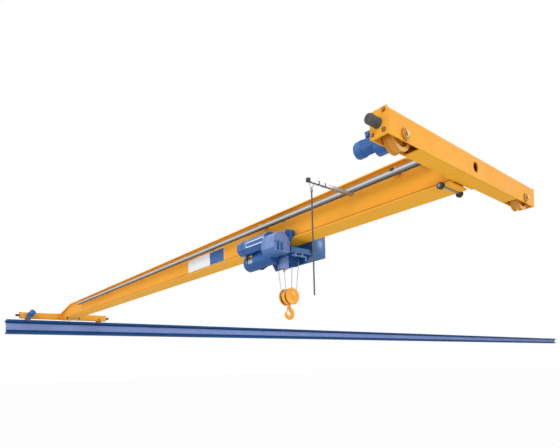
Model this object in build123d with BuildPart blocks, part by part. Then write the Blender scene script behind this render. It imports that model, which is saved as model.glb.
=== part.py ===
"""Single-girder overhead bridge crane with a four-fall rope hoist, on one runway beam.

The origin is the middle of the beam's underside. +X runs along the girder towards the near end
carriage, +Y runs along the runway and +Z is up. All lengths are in millimetres.
"""

import os

from build123d import *

# Runway beam
bay_length = 6600
bay_count = 6
beam_height = 360
beam_width = 310
beam_flange = 40
beam_web = 21
beam_root_radius = 27
rail_width = 50
rail_height = 30
rail_end_gap = 20

# Bridge
span = 12000
bridge_setback = 1470
girder_height = 345
girder_width = 270
girder_lift = 46
web_gap = 150
web_plate = 8
top_flange = 10
bottom_flange = 14
taper_length = 1010
near_taper_length = 400
diaphragm_plate = 6
diaphragm_pitch = 1500

# End carriages
carriage_length = 2240
carriage_width = 130
carriage_height = 160
carriage_drop = 45
carriage_wall = 8
end_plate = 14
end_plate_rise = 10
wheel_radius = 84
wheel_flange_rise = 13
wheel_tread = 54
wheel_flange = 11
wheel_inset = 180
wheel_bay = 360
wheel_web = 30
axle_radius = 22
hub_radius = 36
hub_cap = 14
access_radius = 38
head_plate = 15
head_plate_length = 440

# Carriage buffers
buffer_radius = 38
buffer_length = 100
buffer_round = 8

# Bridge drives
drive_offset = 70
drive_rise = 80
drive_case_length = 79
drive_neck_length = 39
drive_gear_radius = 74
drive_motor_radius = 64
drive_motor_length = 205
drive_fin = 6
drive_fin_count = 7
drive_cowl = 52
drive_round = 14

# Festoon rail
festoon_width = 48
festoon_height = 44
festoon_wall = 5
festoon_slot = 22
festoon_level = 237
festoon_stand = 70
festoon_start = 2000
festoon_end = 200
bracket_pitch = 1600
bracket_inset = 330
bracket_width = 60
bracket_plate = 8

# Girder end stops
near_stop_x = 150
far_stop_x = 870
stop_radius = 28
stop_length = 30
stop_rod_radius = 7

# Trolley
trolley_inset = 2300
trolley_length = 760
trolley_wheel_base = 600
trolley_wheel_radius = 48
trolley_wheel_width = 36
trolley_wheel_gap = 6
side_plate = 12
side_plate_gap = 22
side_plate_rise = 62
ear_radius = 46
far_plate_drop = 222
far_plate_cut = 70
near_plate_drop = 200
cross_plate = 12
cross_gap = 10
end_play = 2
cross_tube = 56
cross_tube_drop = 120
running_gap = 0.4

# Rope drum
drum_offset = 190
drum_drop = 161
drum_radius = 70
drum_flange_radius = 85
drum_flange = 12
drum_length = 490
drum_groove_radius = 4.5
drum_groove_pitch = 16
drum_groove_count = 26
drum_margin = 38
drum_shaft = 26
bearing_lobe = 84
drum_cover_gap = 7
drum_cover = 3
drum_cover_length = 330
drum_cover_top = 100
drum_cover_turn = 162

# Hoist motor housing and gearbox
motor_offset = 268
motor_rise = 12
motor_overhang = 50
motor_sides = 8
motor_flat = 170
motor_cap_flat = 176
motor_cap_length = 100
motor_round = 16
label_width = 340
label_height = 60
label_inset = 195
label_plate = 3
gearbox_drop = 46
gearbox_radius = 120
gearbox_length = 215
gearbox_sides = 12
gearbox_round = 18
gearbox_cover = 16
gearbox_cover_share = 0.82

# Electrics box
box_width = 210
box_height = 258
box_length = 720
box_drop = 164
box_round = 14

# Reeving and hook block
rope_radius = 4.5
fall_spread_x = 60
fall_spread_y = 115
block_spread_x = 40
block_x = 115
block_level = -203
block_sheave_radius = 84
block_groove_radius = 70
block_sheave_width = 30
block_cheek = 12
block_round = 4
block_cheek_radius = 100
block_gap = 2
block_pin = 18
return_sheave_radius = 72
return_sheave_width = 24
return_drop = 176
anchor_width = 70
anchor_overlap = 50
rope_end_gap = 0.8
groove_play = 1.6
anchor_height = 150
block_body_radius = 92
nut_seat = 52
hook_drop = 204
hook_bowl_offset = 6
hook_nut_radius = 17
hook_nut_height = 8
hook_bowl = 24
hook_throat = 42
hook_thickness = 38
hook_shank = 13
hook_neck_width = 20

# Pendant arm and cable
arm_inset = 1040
arm_reach = 576
arm_width = 32
arm_height = 28
arm_wall = 4
arm_runner_length = 150
arm_runner_height = 14
arm_neck = 8
hanger_inset = 45
hanger_drop = 52
hanger_half_span = 40
hanger_wire = 6
cable_radius = 7
cable_length = 900
cable_clamp_radius = 13
cable_clamp_length = 26

# Worked-out places
half_turn = 180
beam_length = bay_length * bay_count
bridge_y = -beam_length / 2 + bridge_setback
rail_top = beam_height + rail_height
axle_z = rail_top + wheel_radius + running_gap
girder_bottom = beam_height + girder_lift
girder_top = girder_bottom + girder_height
flange_top = girder_bottom + bottom_flange
web_face = web_gap / 2 + web_plate
carriage_bottom = axle_z - carriage_drop
carriage_top = carriage_bottom + carriage_height
carriage_middle = carriage_bottom + carriage_height / 2
girder_start = carriage_width / 2 + head_plate
girder_end = span - girder_start
wheel_y = carriage_length / 2 - wheel_inset
trolley_axle_z = flange_top + trolley_wheel_radius + running_gap
side_y = girder_width / 2 + side_plate_gap
drum_z = girder_bottom - drum_drop
motor_z = girder_bottom + motor_rise
gearbox_z = girder_bottom - gearbox_drop
return_z = girder_bottom - return_drop
cover_radius = drum_flange_radius + drum_cover_gap
trolley_x = span - trolley_inset
arm_x = span - arm_inset
trolley_start = trolley_x - trolley_length / 2
trolley_end = trolley_x + trolley_length / 2
drum_start = trolley_start + cross_plate + end_play
drum_end = drum_start + drum_length
cross_top = girder_bottom - cross_gap
frame_low = girder_bottom - far_plate_drop + cross_plate
anchor_low = frame_low + anchor_overlap - anchor_height
right_frame_x = drum_end + end_play
gearbox_start = right_frame_x + cross_plate
gearbox_offset = side_y + side_plate + gearbox_radius
block_centre_x = trolley_x + block_x
return_groove_radius = fall_spread_x - rope_radius - running_gap
festoon_z = girder_bottom + festoon_level
festoon_y = -(web_face + festoon_stand + festoon_width / 2)
arm_z = festoon_z - festoon_height / 2 - arm_neck - arm_height / 2
arm_tip_y = festoon_y - arm_reach
hanger_y = arm_tip_y + hanger_inset


def save(piece, name):
    piece.part.label = name
    export_step(piece.part, f"parts/{name}.step")


def across(y):
    """The plane square to the runway at a distance y from the bridge's middle."""
    return Plane(origin=(0, bridge_y + y, 0), x_dir=(1, 0, 0), z_dir=(0, -1, 0))


def along(x):
    """The plane square to the girder at x, drawn with the bridge's middle at zero."""
    return Plane(origin=(x, bridge_y, 0), x_dir=(0, 1, 0), z_dir=(1, 0, 0))


def flat(z):
    """The level plane at height z, drawn with the bridge's middle at zero."""
    return Plane(origin=(0, bridge_y, z), x_dir=(1, 0, 0), z_dir=(0, 0, 1))


def build_beam():
    with BuildPart() as beam:
        with BuildSketch(Plane.XZ.offset(-beam_length / 2)):
            with Locations((0, beam_height / 2)):
                Rectangle(beam_web, beam_height)
            with Locations((0, beam_flange / 2), (0, beam_height - beam_flange / 2)):
                Rectangle(beam_width, beam_flange)
        extrude(amount=beam_length)
        roots = beam.edges().filter_by(Axis.Y).filter_by(
            lambda edge: abs(abs(edge.center().X) - beam_web / 2) < running_gap
        )
        fillet(roots, beam_root_radius)
    save(beam, "runway_beam")

    with BuildPart() as rail:
        with BuildSketch(Plane.XY.offset(beam_height)):
            Rectangle(rail_width, beam_length - 2 * rail_end_gap)
        extrude(amount=rail_height)
    save(rail, "crane_rail")


def build_girder():
    end_rise = carriage_top - girder_bottom
    with BuildPart() as girder:
        for side in (-1, 1):
            middle = side * (web_gap + web_plate) / 2
            with BuildSketch(across(middle)):
                with BuildLine():
                    Polyline(
                        (girder_start, girder_bottom),
                        (girder_end, girder_bottom),
                        (girder_end, girder_bottom + end_rise),
                        (girder_end - near_taper_length, girder_top),
                        (girder_start + taper_length, girder_top),
                        (girder_start, girder_bottom + end_rise),
                        close=True,
                    )
                make_face()
            extrude(amount=web_plate / 2, both=True)
        with BuildSketch(across(0)):
            with BuildLine():
                Polyline(
                    (girder_start, girder_bottom + end_rise),
                    (girder_start + taper_length, girder_top),
                    (girder_end - near_taper_length, girder_top),
                    (girder_end, girder_bottom + end_rise),
                    (girder_end, girder_bottom + end_rise - top_flange),
                    (girder_end - near_taper_length, girder_top - top_flange),
                    (girder_start + taper_length, girder_top - top_flange),
                    (girder_start, girder_bottom + end_rise - top_flange),
                    close=True,
                )
            make_face()
            with Locations(((girder_start + girder_end) / 2, girder_bottom + bottom_flange / 2)):
                Rectangle(girder_end - girder_start, bottom_flange)
        extrude(amount=girder_width / 2, both=True)
        inner_height = girder_height - top_flange
        level_length = girder_end - near_taper_length - girder_start - taper_length
        stations = int(level_length / diaphragm_pitch)
        for number in range(stations + 1):
            with BuildSketch(along(girder_start + taper_length + number * level_length / stations)):
                with Locations((0, girder_bottom + inner_height / 2)):
                    Rectangle(web_gap, inner_height)
            extrude(amount=diaphragm_plate)
    save(girder, "girder_box")

    with BuildPart() as plates:
        for x in (carriage_width / 2, girder_end):
            with BuildSketch(along(x)):
                with Locations((0, carriage_middle)):
                    Rectangle(head_plate_length, carriage_height)
            extrude(amount=head_plate)
    save(plates, "head_plates")


def build_carriage(name, centre_x, outward):
    bay_middle = carriage_length / 2 - wheel_bay / 2
    with BuildPart() as carriage:
        with BuildSketch(along(centre_x)):
            with Locations((0, carriage_middle)):
                Rectangle(carriage_length, carriage_height)
        extrude(amount=carriage_width / 2, both=True)
        with BuildSketch(along(centre_x)):
            with Locations((0, carriage_middle)):
                Rectangle(carriage_length - 2 * carriage_wall, carriage_height - 2 * carriage_wall)
        extrude(amount=carriage_width / 2 - carriage_wall, both=True, mode=Mode.SUBTRACT)
        with BuildSketch(flat(carriage_bottom)):
            with Locations((centre_x, bay_middle), (centre_x, -bay_middle)):
                Rectangle(carriage_width - 2 * carriage_wall, wheel_bay - 2 * carriage_wall)
        extrude(amount=carriage_wall, both=True, mode=Mode.SUBTRACT)
        with BuildSketch(along(centre_x)):
            with Locations((wheel_y, axle_z), (-wheel_y, axle_z)):
                Circle(hub_radius)
        extrude(amount=carriage_width / 2 + hub_cap, both=True)
        with BuildSketch(along(centre_x)):
            with Locations((wheel_y, axle_z), (-wheel_y, axle_z)):
                Circle(hub_radius)
        wheel_room = (wheel_tread + 2 * wheel_flange) / 2 + end_play
        extrude(amount=wheel_room, both=True, mode=Mode.SUBTRACT)
        with BuildSketch(along(centre_x)):
            with Locations((wheel_y, axle_z), (-wheel_y, axle_z)):
                Circle(axle_radius)
        extrude(amount=carriage_width / 2 + hub_cap, both=True)
        with BuildSketch(along(centre_x)):
            with Locations((0, carriage_middle)):
                Circle(access_radius)
        extrude(amount=outward * carriage_width, mode=Mode.SUBTRACT)
        for side in (-1, 1):
            with BuildSketch(across(side * (carriage_length / 2 + end_plate / 2))):
                with Locations((centre_x, carriage_middle + end_plate_rise / 2)):
                    Rectangle(carriage_width, carriage_height + end_plate_rise)
            extrude(amount=end_plate / 2, both=True)
    save(carriage, name)


def build_wheel(name, centre_x, y):
    half_tread = wheel_tread / 2
    half_width = half_tread + wheel_flange
    rim_inner = wheel_radius - wheel_web / 2
    with BuildPart() as wheel:
        with BuildSketch(Plane(origin=(centre_x, bridge_y + y, axle_z), x_dir=(1, 0, 0), z_dir=(0, -1, 0))):
            with BuildLine():
                Polyline(
                    (-half_width, axle_radius + running_gap),
                    (-half_width, hub_radius),
                    (-wheel_web / 2, hub_radius),
                    (-wheel_web / 2, rim_inner),
                    (-half_width, rim_inner),
                    (-half_width, wheel_radius + wheel_flange_rise),
                    (-half_tread - wheel_flange / 2, wheel_radius + wheel_flange_rise),
                    (-half_tread, wheel_radius),
                    (half_tread, wheel_radius),
                    (half_tread + wheel_flange / 2, wheel_radius + wheel_flange_rise),
                    (half_width, wheel_radius + wheel_flange_rise),
                    (half_width, rim_inner),
                    (wheel_web / 2, rim_inner),
                    (wheel_web / 2, hub_radius),
                    (half_width, hub_radius),
                    (half_width, axle_radius + running_gap),
                    close=True,
                )
            make_face()
        revolve(axis=Axis((centre_x, bridge_y + y, axle_z), (1, 0, 0)))
    save(wheel, name)


def build_carriage_buffers(name, centre_x):
    with BuildPart() as buffers:
        for side in (-1, 1):
            seat = side * (carriage_length / 2 + end_plate)
            with BuildSketch(across(seat)):
                with Locations((centre_x, carriage_middle)):
                    Circle(buffer_radius)
            extrude(amount=-side * buffer_length)
        noses = buffers.faces().filter_by(Axis.Y).sort_by(Axis.Y)
        fillet([edge for face in (noses[0], noses[-1]) for edge in face.edges()], buffer_round)
    save(buffers, name)


def build_bridge_drive(place, face_x, inward):
    """A gear case on the carriage's inner face with a finned motor behind it."""
    drive_y = -wheel_y + drive_offset
    motor_axis_z = axle_z + drive_rise
    neck_start = face_x + inward * drive_case_length
    case_end = neck_start + inward * drive_neck_length
    with BuildPart() as gear:
        with BuildSketch(along(face_x)):
            with Locations((drive_y, motor_axis_z)):
                Circle(drive_gear_radius)
            with Locations((-wheel_y, axle_z)):
                Circle(hub_radius + hub_cap + drive_round)
            make_hull()
            with Locations((-wheel_y, axle_z)):
                Circle(hub_radius + running_gap, mode=Mode.SUBTRACT)
        extrude(amount=inward * drive_case_length)
        with BuildSketch(along(neck_start)):
            with Locations((drive_y, motor_axis_z)):
                Circle(drive_motor_radius)
        extrude(amount=inward * drive_neck_length)
        with BuildSketch(along(neck_start)):
            with Locations((-wheel_y, axle_z)):
                Circle(hub_radius + drive_round)
        extrude(amount=-inward * drive_neck_length)
    save(gear, f"drive_gear_case_{place}")

    body_length = drive_motor_length - drive_cowl
    fin_pitch = body_length / drive_fin_count
    with BuildPart() as motor:
        with BuildSketch(along(case_end)):
            with Locations((drive_y, motor_axis_z)):
                Circle(drive_motor_radius - 2 * drive_fin)
        extrude(amount=inward * body_length)
        for number in range(drive_fin_count):
            with BuildSketch(along(case_end + inward * number * fin_pitch)):
                with Locations((drive_y, motor_axis_z)):
                    Circle(drive_motor_radius - drive_fin)
            extrude(amount=inward * drive_fin)
        with BuildSketch(along(case_end + inward * body_length)):
            with Locations((drive_y, motor_axis_z)):
                Circle(drive_motor_radius)
        extrude(amount=inward * drive_cowl)
        rear = motor.faces().sort_by(Axis.X)[-1 if inward > 0 else 0]
        fillet(rear.edges(), drive_round)
    save(motor, f"drive_motor_{place}")


def build_festoon():
    start = festoon_start
    end = span - festoon_end
    rail_length = end - start
    inner_width = festoon_width - 2 * festoon_wall
    inner_height = festoon_height - 2 * festoon_wall
    with BuildPart() as rail:
        with BuildSketch(along(start)):
            with Locations((festoon_y, festoon_z)):
                Rectangle(festoon_width, festoon_height)
                Rectangle(inner_width, inner_height, mode=Mode.SUBTRACT)
            with Locations((festoon_y, festoon_z - festoon_height / 2)):
                Rectangle(festoon_slot, festoon_height / 2, mode=Mode.SUBTRACT)
        extrude(amount=rail_length)
    save(rail, "festoon_rail")

    held_length = rail_length - bracket_inset - bracket_width
    count = int(held_length / bracket_pitch)
    pitch = held_length / count
    top = festoon_z + festoon_height / 2
    with BuildPart() as brackets:
        for number in range(count + 1):
            with BuildSketch(along(start + number * pitch)):
                with Locations(((festoon_y - festoon_width / 2 - web_face) / 2, top + bracket_plate / 2)):
                    Rectangle(festoon_width + festoon_stand, bracket_plate)
                with Locations((-web_face - bracket_plate / 2, top - festoon_height / 2 + bracket_plate)):
                    Rectangle(bracket_plate, festoon_height)
            extrude(amount=bracket_width)
    save(brackets, "festoon_brackets")


def build_end_stops():
    stop_z = girder_bottom - stop_rod_radius
    with BuildPart() as rods:
        for x in (far_stop_x, span - near_stop_x):
            with BuildSketch(across(0)):
                with Locations((x, stop_z)):
                    Circle(stop_rod_radius)
            extrude(amount=girder_width / 2, both=True)
    save(rods, "stop_rods")

    with BuildPart() as stops:
        for x in (far_stop_x, span - near_stop_x):
            for side in (-1, 1):
                with BuildSketch(across(side * girder_width / 2)):
                    with Locations((x, stop_z)):
                        Circle(stop_radius)
                extrude(amount=-side * stop_length)
    save(stops, "stop_rubbers")


def ears():
    return [(trolley_x + side * trolley_wheel_base / 2, trolley_axle_z) for side in (-1, 1)]


def build_side_plates():
    near_low = cross_top
    top = trolley_axle_z + side_plate_rise - ear_radius
    with BuildPart() as near:
        with BuildSketch(across(-side_y - side_plate / 2)):
            with BuildLine():
                Polyline(
                    (trolley_start, near_low),
                    (gearbox_start, near_low),
                    (gearbox_start, girder_bottom - near_plate_drop),
                    (gearbox_start + gearbox_length / 2, girder_bottom - near_plate_drop),
                    (trolley_end, near_low),
                    (trolley_end, top),
                    (trolley_start, top),
                    close=True,
                )
            make_face()
            with Locations(*ears()):
                Circle(ear_radius)
        extrude(amount=side_plate / 2, both=True)
    save(near, "side_plate_near")

    with BuildPart() as far:
        with BuildSketch(across(side_y + side_plate / 2)):
            with BuildLine():
                Polyline(
                    (trolley_start, girder_bottom - far_plate_drop / 2),
                    (trolley_start + far_plate_cut, girder_bottom - far_plate_drop),
                    (trolley_end - 2 * far_plate_cut, girder_bottom - far_plate_drop),
                    (trolley_end, girder_bottom - far_plate_drop / 2),
                    (trolley_end, top),
                    (trolley_start, top),
                    close=True,
                )
            make_face()
            with Locations(*ears()):
                Circle(ear_radius)
        extrude(amount=side_plate / 2, both=True)
    save(far, "side_plate_far")


def build_trolley_wheels():
    inner = web_face + trolley_wheel_gap
    with BuildPart() as wheels:
        for side in (-1, 1):
            with BuildSketch(across(side * inner)):
                with Locations(*ears()):
                    Circle(trolley_wheel_radius)
            extrude(amount=-side * trolley_wheel_width)
            with BuildSketch(across(side * (inner + trolley_wheel_width))):
                with Locations(*ears()):
                    Circle(ear_radius / 2)
            extrude(amount=-side * (side_y - inner - trolley_wheel_width))
    save(wheels, "trolley_wheels")


def build_cross_frames():
    with BuildPart() as left:
        with BuildSketch(along(trolley_start)):
            with BuildLine():
                Polyline(
                    (-side_y, cross_top),
                    (side_y, cross_top),
                    (side_y, girder_bottom - far_plate_drop / 2),
                    (0, frame_low),
                    (-side_y, frame_low),
                    close=True,
                )
            make_face()
            with Locations((-drum_offset, drum_z)):
                Circle(bearing_lobe)
                Circle(drum_shaft, mode=Mode.SUBTRACT)
            with Locations((-drum_offset, cross_top + bearing_lobe / 2)):
                Rectangle(2 * bearing_lobe, bearing_lobe, mode=Mode.SUBTRACT)
        extrude(amount=cross_plate)
    save(left, "cross_frame_left")

    with BuildPart() as right:
        with BuildSketch(along(right_frame_x)):
            with BuildLine():
                Polyline(
                    (-side_y, cross_top),
                    (side_y, cross_top),
                    (side_y, return_z + return_sheave_radius + cross_gap),
                    (fall_spread_y - return_sheave_width, return_z + return_sheave_radius + cross_gap),
                    (fall_spread_y - 2 * return_sheave_width, frame_low),
                    (-side_y, frame_low),
                    close=True,
                )
            make_face()
            with Locations((-drum_offset, drum_z)):
                Circle(cover_radius + drum_cover)
                Circle(drum_shaft, mode=Mode.SUBTRACT)
            with Locations((-drum_offset, cross_top + bearing_lobe / 2)):
                Rectangle(2 * bearing_lobe, bearing_lobe, mode=Mode.SUBTRACT)
        extrude(amount=cross_plate)
        with BuildSketch(along(right_frame_x)):
            with BuildLine():
                inner = CenterArc((-drum_offset, drum_z), cover_radius, drum_cover_top, drum_cover_turn)
                outer = CenterArc(
                    (-drum_offset, drum_z), cover_radius + drum_cover, drum_cover_top, drum_cover_turn
                )
                Line(inner @ 0, outer @ 0)
                Line(inner @ 1, outer @ 1)
            make_face()
        extrude(amount=-drum_cover_length)
    save(right, "cross_frame_right")

    with BuildPart() as tube:
        with BuildSketch(across(0)):
            with Locations((trolley_end - cross_tube, girder_bottom - cross_tube_drop)):
                Rectangle(cross_tube, cross_tube)
                Rectangle(cross_tube - side_plate, cross_tube - side_plate, mode=Mode.SUBTRACT)
        extrude(amount=side_y, both=True)
    save(tube, "cross_tube")


def build_drum():
    groove_start = drum_start + drum_flange + drum_margin
    drum_y = bridge_y - drum_offset
    with BuildPart() as drum:
        with BuildSketch(Plane(origin=(0, drum_y, drum_z), x_dir=(1, 0, 0), z_dir=(0, -1, 0))):
            with BuildLine():
                Polyline(
                    (drum_start - cross_plate, 0),
                    (drum_start - cross_plate, drum_shaft - running_gap),
                    (drum_start, drum_shaft - running_gap),
                    (drum_start, drum_flange_radius),
                    (drum_start + drum_flange, drum_flange_radius),
                    (drum_start + drum_flange, drum_radius),
                    (drum_end - drum_flange, drum_radius),
                    (drum_end - drum_flange, drum_flange_radius),
                    (drum_end, drum_flange_radius),
                    (drum_end, drum_shaft - running_gap),
                    (drum_end + cross_plate, drum_shaft - running_gap),
                    (drum_end + cross_plate, 0),
                    close=True,
                )
            make_face()
            grooves = [groove_start + number * drum_groove_pitch for number in range(drum_groove_count)]
            with Locations(*[(x, drum_radius) for x in grooves]):
                Circle(drum_groove_radius, mode=Mode.SUBTRACT)
        revolve(axis=Axis((0, drum_y, drum_z), (1, 0, 0)))
    save(drum, "rope_drum")


def build_hoist_motor():
    start = trolley_start - motor_overhang
    with BuildPart() as housing:
        with BuildSketch(along(start + motor_cap_length)):
            with Locations((-motor_offset, motor_z)):
                RegularPolygon(motor_flat / 2, motor_sides, False, rotation=half_turn / motor_sides)
        extrude(amount=gearbox_start - start - motor_cap_length)
    save(housing, "motor_housing")

    with BuildPart() as cap:
        with BuildSketch(along(start)):
            with Locations((-motor_offset, motor_z)):
                RegularPolygon(motor_cap_flat / 2, motor_sides, False, rotation=half_turn / motor_sides)
        extrude(amount=motor_cap_length)
        chamfer(cap.faces().sort_by(Axis.X)[0].edges(), motor_round)
    save(cap, "motor_end_cap")

    with BuildPart() as label:
        with BuildSketch(across(-motor_offset - motor_flat / 2)):
            with Locations((gearbox_start - label_inset, motor_z)):
                RectangleRounded(label_width, label_height, label_plate)
        extrude(amount=label_plate)
    save(label, "label_plate")


def build_gearbox():
    with BuildPart() as box:
        with BuildSketch(along(gearbox_start)):
            with Locations((-gearbox_offset, gearbox_z)):
                RegularPolygon(gearbox_radius, gearbox_sides, False, rotation=half_turn / gearbox_sides)
            with Locations((-gearbox_offset, gearbox_z - gearbox_radius / 2)):
                Rectangle(gearbox_radius * 2 * gearbox_cover_share, gearbox_radius * 2 * gearbox_cover_share)
        extrude(amount=gearbox_length)
        chamfer(box.faces().sort_by(Axis.X)[-1].edges(), gearbox_round)
        with BuildSketch(along(gearbox_start + gearbox_length)):
            with Locations((-gearbox_offset, gearbox_z)):
                Circle(gearbox_radius * gearbox_cover_share / 2)
        extrude(amount=gearbox_cover)
    save(box, "gearbox_housing")


def build_electrics_box():
    box_y = side_y + side_plate + box_width / 2
    with BuildPart() as box:
        with BuildSketch(flat(girder_bottom - box_drop)):
            with Locations((trolley_end - ear_radius / 2 - box_length / 2, box_y)):
                Rectangle(box_length, box_width)
        extrude(amount=box_height)
        fillet(box.edges().filter_by(Axis.X), box_round)
    save(box, "electrics_box")


def grooved_sheave(centre, axle, upright, width, rim_radius, groove_radius, bore_radius):
    """A rope sheave turning about axle, with a round-bottomed groove."""
    half = width / 2
    seat = rope_radius + groove_play
    with BuildPart() as sheave:
        with BuildSketch(Plane(origin=centre, x_dir=axle, z_dir=upright)):
            with BuildLine():
                Polyline(
                    (-seat, groove_radius + seat),
                    (-half + end_play, rim_radius),
                    (-half, rim_radius),
                    (-half, bore_radius),
                    (half, bore_radius),
                    (half, rim_radius),
                    (half - end_play, rim_radius),
                    (seat, groove_radius + seat),
                )
                ThreePointArc(
                    (seat, groove_radius + seat), (0, groove_radius), (-seat, groove_radius + seat)
                )
            make_face()
        revolve(axis=Axis(centre, axle))
    return sheave.part


def build_return_sheave():
    centre = (block_centre_x, bridge_y + fall_spread_y, return_z)
    with BuildPart() as sheave:
        with BuildSketch(across(fall_spread_y)):
            with Locations((block_centre_x, return_z)):
                Circle(block_pin)
        extrude(amount=-(side_y - fall_spread_y))
        add(
            grooved_sheave(
                centre,
                (0, 1, 0),
                (1, 0, 0),
                return_sheave_width,
                return_sheave_radius,
                return_groove_radius,
                0,
            )
        )
    save(sheave, "return_sheave")

    anchor_x = block_centre_x + fall_spread_x
    with BuildPart() as anchor:
        with BuildSketch(flat(frame_low + anchor_overlap)):
            with Locations((anchor_x, -fall_spread_y)):
                Rectangle(anchor_width, 2 * (side_y - fall_spread_y))
        extrude(amount=-anchor_height)
    save(anchor, "rope_anchor")


def fall(bottom_x, side, top_x, top_y, top_z):
    """A straight fall from the side of a block sheave's groove up to its upper seat."""
    start_y = bridge_y + side * (block_groove_radius + rope_radius + running_gap)
    start = Vector(bottom_x, start_y, block_level + rope_end_gap)
    end = Vector(top_x, bridge_y + top_y, top_z)
    return start, end


def falls():
    left = block_centre_x - block_spread_x
    right = block_centre_x + block_spread_x
    drum_fall_y = -drum_offset + drum_radius + rope_radius + running_gap
    return [
        fall(left, -1, block_centre_x - fall_spread_x, drum_fall_y, drum_z),
        fall(left, 1, block_centre_x - fall_spread_x, fall_spread_y, return_z),
        fall(right, 1, block_centre_x + fall_spread_x, fall_spread_y, return_z),
        fall(right, -1, block_centre_x + fall_spread_x, -fall_spread_y, anchor_low - rope_end_gap),
    ]


def build_ropes():
    with BuildPart() as ropes:
        for start, end in falls():
            direction = end - start
            with BuildSketch(Plane(origin=start, z_dir=direction)):
                Circle(rope_radius)
            extrude(amount=direction.length)
    save(ropes, "rope_falls")

    with BuildPart() as wraps:
        for side in (-1, 1):
            centre = (block_centre_x + side * block_spread_x, bridge_y, block_level)
            with BuildSketch(Plane(origin=centre, x_dir=(0, 1, 0), z_dir=(0, 0, 1))):
                with Locations((block_groove_radius + rope_radius + running_gap, 0)):
                    Circle(rope_radius)
            revolve(axis=Axis(centre, (1, 0, 0)), revolution_arc=-half_turn)
    save(wraps, "rope_wraps")


def build_hook_block():
    outer_half = block_spread_x + block_sheave_width / 2 + block_gap
    inner_half = block_spread_x - block_sheave_width / 2 - block_gap
    with BuildPart() as cheeks:
        for side in (-1, 1):
            with BuildSketch(along(block_centre_x + side * outer_half)):
                with Locations((0, block_level)):
                    Circle(block_cheek_radius)
            extrude(amount=side * block_cheek)
        rims = cheeks.faces().filter_by(Axis.X).sort_by(Axis.X)
        chamfer([edge for face in (rims[0], rims[-1]) for edge in face.edges()], block_round)
        with BuildSketch(along(block_centre_x)):
            with Locations((0, block_level)):
                Circle(block_pin - running_gap)
        extrude(amount=outer_half, both=True)
    save(cheeks, "block_cheeks")

    for name, side in (("block_sheave_a", -1), ("block_sheave_b", 1)):
        build_block_sheave(name, block_centre_x + side * block_spread_x)

    with BuildPart() as body:
        with BuildSketch(along(block_centre_x)):
            with Locations((0, block_level)):
                Circle(block_body_radius)
                Circle(block_pin - running_gap, mode=Mode.SUBTRACT)
        extrude(amount=inner_half, both=True)
        with BuildSketch(flat(block_level - block_cheek_radius)):
            with Locations((block_centre_x, 0)):
                Circle(hook_shank + running_gap)
        extrude(amount=block_cheek_radius - nut_seat, mode=Mode.SUBTRACT)
        with BuildSketch(flat(block_level - nut_seat)):
            with Locations((block_centre_x, 0)):
                Circle(hook_nut_radius + running_gap)
        extrude(amount=hook_nut_height + 2 * end_play, mode=Mode.SUBTRACT)
    save(body, "block_body")


def build_block_sheave(name, x):
    centre = (x, bridge_y, block_level)
    with BuildPart() as sheave:
        add(
            grooved_sheave(
                centre,
                (1, 0, 0),
                (0, -1, 0),
                block_sheave_width,
                block_sheave_radius,
                block_groove_radius,
                block_pin,
            )
        )
    save(sheave, name)


def build_hook():
    outer = hook_bowl + hook_throat
    eye_z = block_level - hook_drop
    neck_top = block_level - block_body_radius - end_play
    nut_foot = block_level - nut_seat + end_play
    with BuildPart() as hook:
        with BuildSketch(along(block_centre_x)):
            with Locations((0, eye_z)):
                Circle(outer)
            with Locations((hook_bowl_offset, eye_z)):
                Circle(hook_bowl, mode=Mode.SUBTRACT)
            with BuildLine():
                Polyline(
                    (-outer, eye_z + hook_bowl_offset),
                    (0, eye_z),
                    (0, eye_z + hook_bowl),
                    (-hook_neck_width, eye_z + outer),
                    (-outer, eye_z + outer),
                    close=True,
                )
            make_face(mode=Mode.SUBTRACT)
            with Locations((0, (neck_top + eye_z + hook_bowl + hook_throat / 2) / 2)):
                Rectangle(2 * hook_neck_width, neck_top - eye_z - hook_bowl - hook_throat / 2)
        extrude(amount=hook_thickness / 2, both=True)
        with BuildSketch(flat(neck_top)):
            with Locations((block_centre_x, 0)):
                Circle(hook_shank)
        extrude(amount=nut_foot - neck_top)
        with BuildSketch(flat(nut_foot)):
            with Locations((block_centre_x, 0)):
                Circle(hook_nut_radius)
        extrude(amount=hook_nut_height)
    save(hook, "load_hook")


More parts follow.
